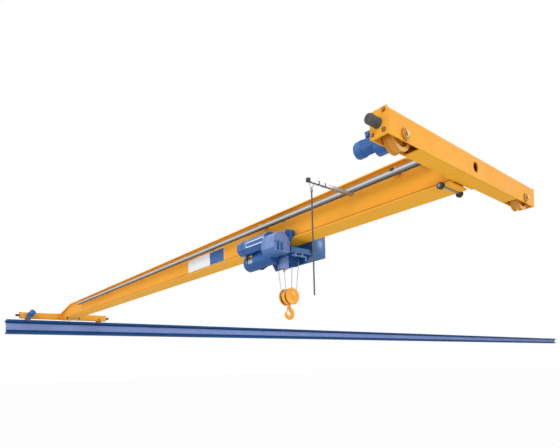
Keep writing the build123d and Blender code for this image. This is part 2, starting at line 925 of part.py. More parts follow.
def build_pendant():
    rail_floor = festoon_z - festoon_height / 2 + festoon_wall + running_gap
    arm_top = arm_z + arm_height / 2
    with BuildPart() as runner:
        with BuildSketch(flat(rail_floor)):
            with Locations((arm_x, festoon_y)):
                Rectangle(arm_runner_length, festoon_width - 2 * festoon_wall - 2 * end_play)
        extrude(amount=arm_runner_height)
        with BuildSketch(flat(arm_top)):
            with Locations((arm_x, festoon_y)):
                Rectangle(arm_runner_length / 2, festoon_slot - 2 * end_play)
        extrude(amount=rail_floor - arm_top)
    save(runner, "arm_runner")

    with BuildPart() as arm:
        with BuildSketch(across(festoon_y + arm_width / 2)):
            with Locations((arm_x, arm_z)):
                Rectangle(arm_width, arm_height)
                Rectangle(arm_width - 2 * arm_wall, arm_height - 2 * arm_wall, mode=Mode.SUBTRACT)
        extrude(amount=arm_reach + arm_width / 2)
    save(arm, "pendant_arm")

    foot = arm_z - arm_height / 2
    low = foot - hanger_drop
    with BuildPart() as hanger:
        with BuildSketch(along(arm_x)):
            with BuildLine():
                Polyline(
                    (hanger_y - hanger_half_span, foot),
                    (hanger_y + hanger_half_span, foot),
                    (hanger_y + cable_clamp_radius, low),
                    (hanger_y - cable_clamp_radius, low),
                    close=True,
                )
            make_face()
            with BuildLine():
                Polyline(
                    (hanger_y - hanger_half_span + 2 * hanger_wire, foot - hanger_wire),
                    (hanger_y + hanger_half_span - 2 * hanger_wire, foot - hanger_wire),
                    (hanger_y, low + 2 * hanger_wire),
                    close=True,
                )
            make_face(mode=Mode.SUBTRACT)
        extrude(amount=hanger_wire, both=True)
        with BuildSketch(flat(low)):
            with Locations((arm_x, hanger_y)):
                Circle(cable_clamp_radius)
        extrude(amount=-cable_clamp_length)
    save(hanger, "cable_hanger")

    with BuildPart() as cable:
        with BuildLine() as route:
            Line(
                (arm_x, bridge_y + hanger_y, low - cable_clamp_length),
                (arm_x, bridge_y + hanger_y, low - cable_clamp_length - cable_length),
            )
        with BuildSketch(Plane(origin=route.line @ 0, z_dir=route.line % 0)):
            Circle(cable_radius)
        sweep(path=route.line)
    save(cable, "pendant_cable")


def main():
    os.makedirs("parts", exist_ok=True)
    build_beam()
    build_girder()
    for place, centre_x, outward in (("far", 0, -1), ("near", span, 1)):
        build_carriage(f"carriage_{place}", centre_x, outward)
        build_carriage_buffers(f"buffers_{place}", centre_x)
        build_bridge_drive(place, centre_x - outward * carriage_width / 2, -outward)
        build_wheel(f"wheel_{place}_a", centre_x, -wheel_y)
        build_wheel(f"wheel_{place}_b", centre_x, wheel_y)
    build_festoon()
    build_end_stops()
    build_side_plates()
    build_trolley_wheels()
    build_cross_frames()
    build_drum()
    build_hoist_motor()
    build_gearbox()
    build_electrics_box()
    build_return_sheave()
    build_ropes()
    build_hook_block()
    build_hook()
    build_pendant()


main()
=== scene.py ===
"""Looks of a single-girder overhead bridge crane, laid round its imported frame.

X runs along the girder towards the near end carriage, Y along the runway and Z up, in metres.
"""

import math

import bmesh
import bpy
from bpy.props import FloatProperty, FloatVectorProperty, IntProperty, PointerProperty
from bpy.types import Operator, Panel, PropertyGroup
from mathutils import Matrix, Vector


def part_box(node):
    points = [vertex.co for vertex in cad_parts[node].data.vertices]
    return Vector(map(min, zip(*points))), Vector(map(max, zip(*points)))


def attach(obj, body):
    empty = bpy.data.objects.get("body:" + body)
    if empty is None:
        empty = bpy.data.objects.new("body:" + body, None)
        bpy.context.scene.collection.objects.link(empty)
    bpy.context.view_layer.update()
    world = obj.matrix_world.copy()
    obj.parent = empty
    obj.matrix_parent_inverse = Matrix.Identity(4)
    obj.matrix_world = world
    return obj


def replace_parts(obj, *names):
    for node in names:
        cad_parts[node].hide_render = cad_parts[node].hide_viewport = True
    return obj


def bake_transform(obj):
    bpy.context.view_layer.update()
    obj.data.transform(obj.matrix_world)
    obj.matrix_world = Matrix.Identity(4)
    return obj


bl_info = {
    "name": "Bridge crane looks",
    "version": (1, 0, 0),
    "blender": (4, 5, 0),
    "location": "3D View > Sidebar > Crane",
    "description": "Dresses the bridge crane's frame with finishes, fixings, ropes and hoist details",
    "category": "Object",
}

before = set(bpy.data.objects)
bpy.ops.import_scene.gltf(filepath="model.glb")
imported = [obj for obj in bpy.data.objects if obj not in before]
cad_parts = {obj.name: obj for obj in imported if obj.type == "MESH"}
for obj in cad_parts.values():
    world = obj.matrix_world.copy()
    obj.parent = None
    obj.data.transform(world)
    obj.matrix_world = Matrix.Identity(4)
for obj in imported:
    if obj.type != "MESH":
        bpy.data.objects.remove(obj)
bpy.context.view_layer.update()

X = Vector((1, 0, 0))
Y = Vector((0, 1, 0))
Z = Vector((0, 0, 1))
SIDES = (-1, 1)
SMOOTH_BELOW = math.radians(32)
SOFTEN_ABOVE = math.radians(35)
MERGE_WITHIN = 1e-6
POLE_WITHIN = 1e-5


def low(node):
    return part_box(node)[0]


def high(node):
    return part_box(node)[1]


def middle(node):
    return (low(node) + high(node)) / 2


def size(node):
    return high(node) - low(node)


bridge_y = middle("girder_box").y

# Sizes of the frame's pieces that their boxes don't give
beam_web = 0.021
beam_flange = 0.04
beam_root = 0.027
girder_web_reach = 0.083
girder_foot_flange = 0.014
girder_top_flange = 0.010
carriage_half = 0.065
carriage_rim = 0.01
end_plate = 0.014
cross_frame_plate = 0.012
rope_radius = 0.0045
rope_reach = 0.0749
groove_pitch = 0.016
block_sheave_reach = 0.04


def colour_property(name, description, rgb):
    return FloatVectorProperty(
        name=name, description=description, default=rgb, min=0, max=1, size=3, subtype="COLOR"
    )


def length_property(name, description, metres):
    return FloatProperty(name=name, description=description, default=metres, min=0, unit="LENGTH")


def angle_property(name, description, degrees):
    return FloatProperty(name=name, description=description, default=math.radians(degrees), subtype="ANGLE")


class CraneColours(PropertyGroup):
    girder: colour_property("Girder", "Paint of the girder and the end carriages", (0.91, 0.4, 0.036))
    hoist: colour_property("Hoist", "Paint of the hoist and the travel drives", (0.025, 0.13, 0.38))
    # Painted light: a lighter copy of the hoist paint that stands in for the light on the gear case.
    hoist_lit: colour_property("Gear case", "Paler paint of the gear case", (0.16, 0.25, 0.52))
    # Painted shade: a darker copy of the hoist paint for the frames, covers, side plates and return sheave
    # that lie in shade.
    hoist_shaded: colour_property("Hoist frames", "Darker paint of the frames and covers", (0.02, 0.11, 0.34))
    # The flange paint also reaches onto the web next to each flange, as painted shade.
    runway: colour_property("Runway flanges", "Paint of the runway beam's flanges", (0.012, 0.075, 0.23))
    runway_web: colour_property("Runway web", "Paler paint of the runway beam's web", (0.27, 0.36, 0.7))
    hook: colour_property("Hook block", "Paint of the hook block", (0.95, 0.38, 0.012))
    steel: colour_property("Bare steel", "Drum, rope and running band", (0.55, 0.56, 0.58))
    rail: colour_property("Rails", "Festoon rail, pendant arm and small steel", (0.33, 0.34, 0.34))
    cast: colour_property("Castings", "Sheaves of the hook block", (0.035, 0.033, 0.033))
    rubber: colour_property("Rubber", "Trolley's end stops and small mouldings", (0.018, 0.018, 0.02))
    buffer: colour_property("Buffers", "Dusty rubber of the carriage buffers", (0.05, 0.05, 0.053))
    plate: colour_property("Plates", "Blank placards", (0.86, 0.88, 0.9))
    bolt: colour_property("Fixings", "Yellow-passivated bolts and screws", (0.42, 0.25, 0.09))
    cable: colour_property("Cable", "Sheath of the pendant cable", (0.075, 0.075, 0.08))
    # Painted shade: the dark line in the corner above the girder's lower flange stands in for the shade
    # there.
    foot_shade: colour_property("Foot shade", "Painted shade in the corner of the girder's lower flange", (0.28, 0.13, 0.03))


class CraneFixings(PropertyGroup):
    bolt: length_property("Bolt head", "Width of a large bolt's head", 0.024)
    screw: length_property("Screw head", "Width of a cover screw's head", 0.011)
    weld: length_property("Weld", "Leg of a weld bead", 0.006)
    clip_pitch: length_property("Clip pitch", "Distance between rail clips", 1.1)


class CraneRopes(PropertyGroup):
    strands: IntProperty(name="Strands", description="Strands in the hoist rope", default=6, min=3, max=12)
    lay: length_property("Lay", "Length of one turn of a strand", 0.055)


class CraneStudio(PropertyGroup):
    lens: FloatProperty(name="Lens", description="Focal length", default=28.374, min=1, unit="CAMERA")
    shift: FloatProperty(name="Rise", description="Upward shift of the view", default=0.24736)
    yaw: angle_property("Yaw", "Turn to the left", 50.1965)
    roll: angle_property("Roll", "Tilt of the camera", -1.5988)
    floor_drop: length_property("Floor drop", "Depth of the floor below the beam", 5.6)


def shell():
    return bmesh.new()


def around(degrees):
    """The direction square to X at an angle from Y."""
    angle = math.radians(degrees)
    return Vector((0, math.cos(angle), math.sin(angle)))


def turned(direction):
    return Vector(direction).to_track_quat("Z", "Y").to_matrix().to_4x4()


def cuboid(bm, corner, opposite):
    """A box between two opposite corners, in any order."""
    corner, opposite = Vector(corner), Vector(opposite)
    extent = [abs(reach) for reach in opposite - corner]
    matrix = Matrix.Translation((corner + opposite) / 2) @ Matrix.Diagonal((*extent, 1))
    bmesh.ops.create_cube(bm, size=1, matrix=matrix)


def rod(bm, start, end, radius, sides=16, tip=None):
    """A round bar, tapered where its tip has another radius."""
    start, end = Vector(start), Vector(end)
    bmesh.ops.create_cone(
        bm,
        cap_ends=True,
        segments=sides,
        radius1=radius,
        radius2=radius if tip is None else tip,
        depth=(end - start).length,
        matrix=Matrix.Translation((start + end) / 2) @ turned(end - start),
    )


def bolt_head(bm, seat, direction, width):
    """A hexagon head on a washer."""
    seat, direction = Vector(seat), Vector(direction).normalized()
    washer, head, crown = (seat + direction * width * share for share in (0.12, 0.62, 0.7))
    rod(bm, seat, washer, width * 0.75, 12)
    rod(bm, washer, head, width * 0.577, 6)
    rod(bm, head, crown, width * 0.5, 6, width * 0.42)


def screw_head(bm, seat, direction, width):
    seat, direction = Vector(seat), Vector(direction).normalized()
    rod(bm, seat, seat + direction * width * 0.35, width * 0.5, 10, width * 0.42)


def scaled(shares, length, radius):
    """A lathe's profile from shares of a length and a radius."""
    return [(along * length, out * radius) for along, out in shares]


def spun(bm, geom, centre, axis, angle, steps, advance=0.0):
    """Turns geometry about an axis, moving it along by advance on the way."""
    bmesh.ops.spin(
        bm,
        geom=geom,
        cent=centre,
        axis=axis,
        dvec=axis * advance / steps,
        angle=angle,
        steps=steps,
        use_merge=angle == math.tau and not advance,
        use_duplicate=False,
    )


def lathe(bm, centre, axis, profile, sides=48):
    """Spins a profile of (distance along the axis, radius) about the axis through centre."""
    centre, axis = Vector(centre), Vector(axis).normalized()
    side = axis.orthogonal().normalized()
    corners = [bm.verts.new(centre + axis * along + side * radius) for along, radius in profile]
    edges = [bm.edges.new(pair) for pair in zip(corners, corners[1:])]
    spun(bm, corners + edges, centre, axis, math.tau, sides)
    bmesh.ops.remove_doubles(bm, verts=bm.verts, dist=POLE_WITHIN)


def prism(bm, outline, depth):
    """Extrudes a flat outline of points by the vector depth."""
    face = bm.faces.new([bm.verts.new(Vector(point)) for point in outline])
    made = bmesh.ops.extrude_face_region(bm, geom=[face], use_keep_orig=True)["geom"]
    moved = [v for v in made if isinstance(v, bmesh.types.BMVert)]
    bmesh.ops.translate(bm, verts=moved, vec=Vector(depth))


def bead(bm, points, side, up, leg):
    """A triangular weld bead along a run of points, in the corner between side and up."""
    side, up = Vector(side) * leg, Vector(up) * leg
    for start, end in zip(points, points[1:]):
        start, end = Vector(start), Vector(end)
        prism(bm, (start, start + side, start + up), end - start)


def ring(bm, centre, direction, radius, sides):
    """A circle of vertices square to direction."""
    matrix = Matrix.Translation(Vector(centre)) @ turned(direction)
    return bmesh.ops.create_circle(bm, cap_ends=False, segments=sides, radius=radius, matrix=matrix)["verts"]


def close_ends(bm):
    bmesh.ops.holes_fill(bm, edges=[e for e in bm.edges if e.is_boundary], sides=0)


def swept(bm, section, centre, axis, angle, steps, advance=0.0):
    """Turns a closed section about an axis, moving it along by advance on the way."""
    edges = list({edge for vert in section for edge in vert.link_edges})
    spun(bm, section + edges, Vector(centre), Vector(axis).normalized(), angle, steps, advance)
    close_ends(bm)


def bridged(bm, places, sides, radius):
    """A closed bar through circles, one at each of the matrices in places."""
    previous = []
    for number, place in enumerate(places):
        at_end = number in (0, len(places) - 1)
        made = bmesh.ops.create_circle(bm, cap_ends=at_end, segments=sides, radius=radius, matrix=place)
        verts = made["verts"]
        loop = list({e for v in verts for e in v.link_edges if e.other_vert(v) in verts})
        if previous:
            bmesh.ops.bridge_loops(bm, edges=previous + loop)
        previous = loop


def oval_bar(bm, places, halves):
    """A closed bar along places in a plane across X, with its half width and half thickness at each."""
    sections = []
    for number, (width, thickness) in enumerate(halves):
        ahead = places[min(number + 1, len(places) - 1)] - places[max(number - 1, 0)]
        tangent = ahead.normalized()
        axes = Matrix((X * width, tangent.cross(X) * thickness, tangent)).transposed().to_4x4()
        sections.append(Matrix.Translation(places[number]) @ axes)
    bridged(bm, sections, 12, 1)


def arc_sheet(bm, centre, radius, wall, reach, angles, steps):
    """A curved sheet about a line along X, between two angles from Y in degrees."""
    start, end = angles
    left, right = reach
    outer = radius + wall
    section = [
        bm.verts.new(Vector((x, centre.y, centre.z)) + around(start) * r)
        for x, r in ((left, radius), (right, radius), (right, outer), (left, outer))
    ]
    for pair in zip(section, section[1:] + section[:1]):
        bm.edges.new(pair)
    swept(bm, section, centre, X, math.radians(end - start), steps)


def soften(bm, width, segments=2):
    """Bevels every edge that turns sharply."""
    bmesh.ops.recalc_face_normals(bm, faces=bm.faces)
    bmesh.ops.bevel(
        bm,
        geom=[e for e in bm.edges if e.is_manifold and e.calc_face_angle(0) > SOFTEN_ABOVE],
        offset=width,
        offset_type="OFFSET",
        affect="EDGES",
        segments=segments,
        profile=0.5,
        material=-1,
        clamp_overlap=True,
    )


def meshed(name, bm):
    """A mesh from a finished bmesh."""
    mesh = bpy.data.meshes.new(name)
    bm.to_mesh(mesh)
    bm.free()
    return mesh


def placed(name, data):
    """An object in the scene, at the origin."""
    obj = bpy.data.objects.new(name, data)
    bpy.context.scene.collection.objects.link(obj)
    return obj


def piece(bm, name, body, finish, merge=True):
    """Turns a bmesh into a shown piece that rides on a body."""
    if merge:
        bmesh.ops.remove_doubles(bm, verts=bm.verts, dist=MERGE_WITHIN)
    bmesh.ops.recalc_face_normals(bm, faces=bm.faces)
    mesh = meshed(name, bm)
    for polygon in mesh.polygons:
        polygon.use_smooth = True
    mesh.set_sharp_from_angle(angle=SMOOTH_BELOW)
    mesh.materials.append(bpy.data.materials[finish])
    obj = placed(name, mesh)
    if body:
        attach(obj, body)
    return obj


class Finish:
    """A material with one principled shader and object coordinates."""

    def __init__(self, name):
        self.material = bpy.data.materials.new(name)
        self.material.use_nodes = True
        self.tree = self.material.node_tree
        self.tree.nodes.clear()
        self.shader = self.add("ShaderNodeBsdfPrincipled")
        self.output = self.add("ShaderNodeOutputMaterial").inputs["Surface"]
        self.feed(self.shader.outputs["BSDF"], self.output)
        self.coords = self.add("ShaderNodeTexCoord").outputs["Object"]

    def feed(self, value, socket):
        """Joins an input to another node's output, or sets it to a constant."""
        if isinstance(value, bpy.types.NodeSocket):
            self.tree.links.new(value, socket)
        else:
            socket.default_value = value

    def add(self, kind, values=None, **settings):
        """Adds a node with its settings and feeds the inputs that values names."""
        node = self.tree.nodes.new(kind)
        for key, value in settings.items():
            setattr(node, key, value)
        for key, value in (values or {}).items():
            self.feed(value, node.inputs[key])
        return node

    def surface(self, colour, roughness, values=None):
        """Feeds the shader's colour, roughness and the inputs that values names."""
        for key, value in {"Base Color": colour, "Roughness": roughness, **(values or {})}.items():
            self.feed(value, self.shader.inputs[key])

    def stretched(self, scale):
        return self.add("ShaderNodeMapping", {"Vector": self.coords, "Scale": scale}).outputs["Vector"]

    def noise(self, scale, detail=3.0, roughness=0.55, vector=None):
        values = {"Vector": vector or self.coords, "Scale": scale, "Detail": detail, "Roughness": roughness}
        return self.add("ShaderNodeTexNoise", values).outputs["Fac"]

    def spread(self, value, from_low, from_high, to_low, to_high):
        limits = {"From Min": from_low, "From Max": from_high, "To Min": to_low, "To Max": to_high}
        return self.add("ShaderNodeMapRange", {"Value": value, **limits}).outputs["Result"]

    def varied(self, noise, to_low, to_high):
        """The middle of a noise's range, spread between two values."""
        return self.spread(noise, 0.3, 0.7, to_low, to_high)

    def product(self, first, second):
        return self.add("ShaderNodeMath", {0: first, 1: second}, operation="MULTIPLY").outputs[0]

    def mixed(self, share, first, second):
        """A colour between two others, each of which is an output or a constant."""
        node = self.add("ShaderNodeMix", {"Factor": share}, data_type="RGBA")
        sockets = [s for s in node.inputs if s.type == "RGBA"]
        for socket, value in zip(sockets, (first, second)):
            self.feed(value if isinstance(value, bpy.types.NodeSocket) else (*value, 1), socket)
        return next(s for s in node.outputs if s.type == "RGBA")

    def toned(self, noise, colour, dark, bright):
        """A colour between two factors of itself."""
        return self.mixed(noise, shade(colour, dark), shade(colour, bright))

    def level_band(self, foot, top, edge):
        """One between two heights and zero outside them, with soft edges."""
        height = self.add("ShaderNodeSeparateXYZ", {"Vector": self.coords}).outputs["Z"]
        above_foot = self.spread(height, foot - edge, foot + edge, 0, 1)
        return self.product(above_foot, self.spread(height, top - edge, top + edge, 1, 0))

    def overlay(self, share, colour):
        """Mixes a colour over the base colour that the shader has so far."""
        base = self.shader.inputs["Base Color"]
        self.feed(self.mixed(share, base.links[0].from_socket, colour), base)

    def bump(self, height, strength, distance):
        bump = self.add("ShaderNodeBump", {"Height": height, "Strength": strength, "Distance": distance})
        self.feed(bump.outputs["Normal"], self.shader.inputs["Normal"])


def shade(colour, factor):
    return tuple(min(1.0, channel * factor) for channel in colour)


def paint(name, colour, under, roughness=0.45, coat=0.0, gloss=0.3, peel=0.12):
    """Sprayed paint with a faint orange peel and patchy tone. Faces that look down get a painted shade that
    makes the colour darker and deeper. Dust specks lie thicker on faces that look up, and there they also
    stand in for painted light on the tops.
    """
    finish = Finish(name)
    normal = finish.add("ShaderNodeNewGeometry").outputs["Normal"]
    facing_up = finish.add("ShaderNodeSeparateXYZ", {"Vector": normal}).outputs["Z"]
    # Painted shade: faces that look down blend into the darker under colour.
    shaded_below = finish.mixed(finish.spread(facing_up, -0.75, -0.1, 0, 1), under, colour)
    tone = finish.varied(finish.noise(0.8, 4), 0.94, 1.05)
    patchy = finish.add("ShaderNodeVectorMath", {"Vector": shaded_below, "Scale": tone}, operation="SCALE")
    # Dust specks that lie thicker on faces that look up; the extra lightening of the tops is also painted
    # light from above.
    speck = finish.spread(finish.noise(9, 7, 0.65, finish.stretched((1, 1, 0.35))), 0.54, 0.8, 0, 0.4)
    dust_and_top_light = finish.product(finish.spread(facing_up, 0.2, 0.9, 0.25, 1), speck)
    dusty = tuple(0.7 * channel + 0.08 for channel in colour)
    finish.surface(
        finish.mixed(dust_and_top_light, patchy.outputs[0], dusty),
        finish.varied(finish.noise(5, 5), roughness - 0.05, roughness + 0.09),
        {"Specular IOR Level": gloss, "Coat Weight": coat, "Coat Roughness": 0.2},
    )
    finish.bump(finish.noise(260, 2), peel, 0.0004)
    return finish


def band_paint(name, flange, web, under, band):
    """Beam paint, paler in the web's band between two heights than on the flanges and rail; the flange paint
    that reaches onto the web next to each flange is painted shade from the flanges.
    """
    finish = paint(name, flange, under, roughness=0.55, gloss=0.15)
    haze = finish.varied(finish.noise(1.5, 5), 0, 1)
    finish.overlay(finish.level_band(*band, 0.008), finish.toned(haze, web, 0.92, 1.06))


def foot_shaded_paint(name, colour, under, foot_shade, band):
    """Girder paint with a painted shade line in the corner above the lower flange."""
    finish = paint(name, colour, under, roughness=0.55, gloss=0.12)
    # The painted shade line's strength varies along the girder.
    thickness = finish.varied(finish.noise(2.5, 5), 0.55, 0.95)
    finish.overlay(finish.product(finish.level_band(*band, 0.004), thickness), foot_shade)


def metal(name, colour, roughness, grain):
    """Bare or plated metal, brushed along the axis with the smallest grain."""
    finish = Finish(name)
    streak = finish.noise(70, 4, 0.6, finish.stretched(grain))
    wear = finish.varied(finish.noise(14, 5), roughness - 0.08, roughness + 0.1)
    finish.surface(finish.toned(streak, colour, 0.78, 1.2), wear, {"Metallic": 0.85})
    finish.bump(streak, 0.1, 0.0003)
    return finish


def rail_profile(name, colour):
    """Drawn rail, with a painted highlight as a bright line along the middle of its side and painted shade
    on its dull edges.
    """
    # Painted shade: the rail's metal is darkened to about half its colour for the dull edges.
    finish = metal(name, shade(colour, 0.55), 0.45, (0.03, 1, 1))
    centre = middle("festoon_rail").z
    # Painted highlight: a bright line along the middle of the side.
    highlight_line = finish.toned(finish.noise(3, 4), colour, 1.5, 1.8)
    finish.overlay(finish.level_band(centre - 0.007, centre + 0.013, 0.003), highlight_line)
    finish.feed(0.2, finish.shader.inputs["Metallic"])


def casting(name, colour):
    """Oiled iron, rough from the mould."""
    finish = Finish(name)
    grit = finish.noise(320, 3)
    patch = finish.noise(12, 5)
    film = finish.varied(patch, 0.42, 0.66)
    finish.surface(finish.toned(patch, colour, 0.7, 1.6), film, {"Specular IOR Level": 0.25})
    finish.bump(grit, 0.35, 0.0008)


def soft_black(name, colour):
    """Moulded rubber with a dusty bloom."""
    finish = Finish(name)
    bloom = finish.spread(finish.noise(22, 6), 0.45, 0.75, 0, 1)
    dusty = tuple(channel + 0.03 for channel in colour)
    finish.surface(finish.mixed(bloom, colour, dusty), finish.spread(bloom, 0, 1, 0.55, 0.75))
    finish.bump(finish.noise(480, 2), 0.2, 0.0003)


def sheet_plastic(name, colour, roughness=0.4):
    """Printed or moulded sheet, even and slightly glossy."""
    finish = Finish(name)
    haze = finish.noise(6, 4)
    sheen = finish.varied(haze, roughness - 0.05, roughness + 0.06)
    finish.surface(finish.toned(haze, colour, 0.96, 1.03), sheen)
    finish.bump(finish.noise(600, 2), 0.06, 0.0002)


NODE_FINISHES = {
    "girder web paint": ("girder_box",),
    "girder paint": ("head_plates", "carriage_near", "carriage_far", "festoon_brackets"),
    "wheel paint": ("wheel_near_a", "wheel_near_b", "wheel_far_a", "wheel_far_b"),
    "runway paint": ("runway_beam", "crane_rail"),
    "rail steel": ("stop_rods", "arm_runner", "cable_hanger"),
    "festoon profile": ("festoon_rail",),
    "arm profile": ("pendant_arm",),
    "rubber": ("buffers_near", "buffers_far", "stop_rubbers"),
    "hoist paint": (
        *("drive_gear_case_near", "drive_gear_case_far", "drive_motor_near", "drive_motor_far"),
        *("motor_housing", "motor_end_cap"),
    ),
    # Painted light: these pieces take the lighter copy of the hoist paint.
    "gear case paint": ("gearbox_housing", "rope_anchor"),
    # Painted shade: these pieces take the darker copy of the hoist paint.
    "hoist cover paint": (
        *("side_plate_near", "side_plate_far", "cross_frame_left", "cross_frame_right", "cross_tube"),
        *("electrics_box", "return_sheave", "trolley_wheels"),
    ),
    "sheave iron": ("block_sheave_a", "block_sheave_b"),
    "bare steel": ("rope_drum",),
    "rope wire": ("rope_falls", "rope_wraps"),
    "hook paint": ("block_cheeks", "block_body", "load_hook"),
    "white plate": ("label_plate",),
    "cable sheath": ("pendant_cable",),
}


class CRANE_OT_finishes(Operator):
    """Makes the finishes and paints the frame's own pieces"""

    bl_idname = "crane.finishes"
    bl_label = "Finishes"

    def execute(self, context):
        colours = context.scene.crane_colours
        # cover is the darker copy of the hoist paint, painted shade.
        girder, cover = colours.girder, colours.hoist_shaded
        # The under colours given to the paints below are painted shade for the faces that look down.
        girder_underside_shade = (girder.r * 0.97, girder.g * 1.06, girder.b * 0.5)
        hoist_underside_shade = (0.004, 0.085, 0.3)
        cover_underside_shade = (0.006, 0.075, 0.25)
        flange_top = low("girder_box").z + girder_foot_flange
        # Heights of the painted shade line above the lower flange.
        foot_shade_band = (flange_top + 0.017, flange_top + 0.031)
        # Between these heights the web shows its paler paint; outside them the flange paint on the web is
        # painted shade from the flanges.
        web_band = (0.112, 0.285)
        paint("girder paint", girder, girder_underside_shade, roughness=0.55, gloss=0.12)
        foot_shaded_paint("girder web paint", girder, girder_underside_shade, colours.foot_shade, foot_shade_band)
        paint("wheel paint", shade(girder, 0.8), shade(girder, 0.7))
        paint("hoist paint", colours.hoist, hoist_underside_shade, roughness=0.36, coat=0.15, gloss=0.4)
        # The gear case paint is the lit copy of the hoist paint, painted light.
        paint("gear case paint", colours.hoist_lit, cover, roughness=0.36, coat=0.15, gloss=0.4)
        paint("hoist cover paint", cover, cover_underside_shade, roughness=0.42)
        hook = colours.hook
        paint("hook paint", hook, shade(hook, 0.95), roughness=0.24, coat=0.5, gloss=0.2, peel=0.03)
        band_paint("runway paint", colours.runway, colours.runway_web, shade(colours.runway, 0.8), web_band)
        metal("bare steel", colours.steel, 0.3, (1, 0.05, 0.05))
        metal("rope wire", colours.steel, 0.42, (1, 1, 1))
        metal("rail steel", colours.rail, 0.45, (1, 0.05, 1))
        metal("arm profile", shade(colours.rail, 1.5), 0.35, (0.03, 1, 1))
        rail_profile("festoon profile", colours.rail)
        metal("zinc", colours.bolt, 0.4, (1, 1, 1))
        soft_black("rubber", colours.rubber)
        soft_black("buffer rubber", colours.buffer)
        sheet_plastic("white plate", colours.plate)
        sheet_plastic("blue field", cover)
        sheet_plastic("cable sheath", colours.cable, 0.5)
        sheet_plastic("black plastic", shade(colours.rubber, 1.4), 0.45)
        # Painted shade: the sheave iron is halved in colour so that the block's slots look dark.
        casting("sheave iron", shade(colours.cast, 0.5))
        for finish, nodes in NODE_FINISHES.items():
            for node in nodes:
                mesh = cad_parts[node].data
                mesh.materials.clear()
                mesh.materials.append(bpy.data.materials[finish])
        return {"FINISHED"}


class CRANE_OT_stage(Operator):
    """Sets the camera, the pale floor, the lamps and the background"""

    bl_idname = "crane.stage"
    bl_label = "Stage"

    def execute(self, context):
        scene = context.scene
        scene.view_settings.view_transform = "Standard"
        scene.camera = self.camera(scene.crane_studio)
        self.floor(scene.crane_studio.floor_drop)
        self.background(scene)
        self.lamp("key", (24, bridge_y - 16, 9), (8, bridge_y, 0.3), 9, 1400)
        self.lamp("fill", (4, bridge_y - 18, -2.5), (6, bridge_y, 0.3), 12, 600)
        self.lamp("side", (21.5, bridge_y + 14.5, 6.8), (9.8, bridge_y, 0), 3, 600)
        return {"FINISHED"}

    def camera(self, studio):
        camera = placed("camera", bpy.data.cameras.new("camera"))
        camera.data.lens = studio.lens
        camera.data.sensor_width = 36
        camera.data.shift_y = studio.shift
        camera.data.clip_start = 0.05
        camera.data.clip_end = 300
        ahead = Vector((-math.sin(studio.yaw), math.cos(studio.yaw), 0))
        right = math.cos(studio.roll) * ahead.cross(Z) + math.sin(studio.roll) * Z
        axes = Matrix((right, right.cross(ahead), -ahead)).transposed()
        place = Vector((13.7046, bridge_y - 3.4064, -0.9706))
        camera.matrix_world = Matrix.Translation(place) @ axes.to_4x4()
        return camera

    def floor(self, drop):
        bm = shell()
        matrix = Matrix.Translation((0, 0, -drop))
        bmesh.ops.create_grid(bm, x_segments=1, y_segments=1, size=160, matrix=matrix)
        floor = placed("floor", meshed("floor", bm))
        finish = Finish("floor")
        finish.surface((0.82, 0.82, 0.82, 1), 0.9)
        glow = finish.add("ShaderNodeEmission", {"Color": (1, 1, 1, 1)}).outputs["Emission"]
        seen = finish.add("ShaderNodeLightPath").outputs["Is Camera Ray"]
        parts = {"Fac": finish.product(seen, 0.95), 1: finish.shader.outputs["BSDF"], 2: glow}
        finish.feed(finish.add("ShaderNodeMixShader", parts).outputs["Shader"], finish.output)
        floor.data.materials.append(finish.material)

    def background(self, scene):
        """Pure white where the camera or a reflection sees it, and a little dimmer as light."""
        world = bpy.data.worlds.new("studio")
        scene.world = world
        world.use_nodes = True
        nodes, links = world.node_tree.nodes, world.node_tree.links
        nodes.clear()
        path = nodes.new("ShaderNodeLightPath")
        seen = nodes.new("ShaderNodeMath")
        seen.operation = "MAXIMUM"
        links.new(path.outputs["Is Camera Ray"], seen.inputs[0])
        links.new(path.outputs["Is Glossy Ray"], seen.inputs[1])
        mix = nodes.new("ShaderNodeMixShader")
        links.new(seen.outputs[0], mix.inputs["Fac"])
        for number, (colour, strength) in enumerate((((0.97, 0.98, 1, 1), 0.85), ((1, 1, 1, 1), 1))):
            light = nodes.new("ShaderNodeBackground")
            light.inputs["Color"].default_value = colour
            light.inputs["Strength"].default_value = strength
            links.new(light.outputs[0], mix.inputs[number + 1])
        links.new(mix.outputs[0], nodes.new("ShaderNodeOutputWorld").inputs["Surface"])

    def lamp(self, name, place, target, width, power):
        lamp = placed(name, bpy.data.lights.new(name, "AREA"))
        lamp.data.size = width
        lamp.data.energy = power
        place, target = Vector(place), Vector(target)
        facing = (target - place).to_track_quat("-Z", "Y").to_matrix().to_4x4()
        lamp.matrix_world = Matrix.Translation(place) @ facing


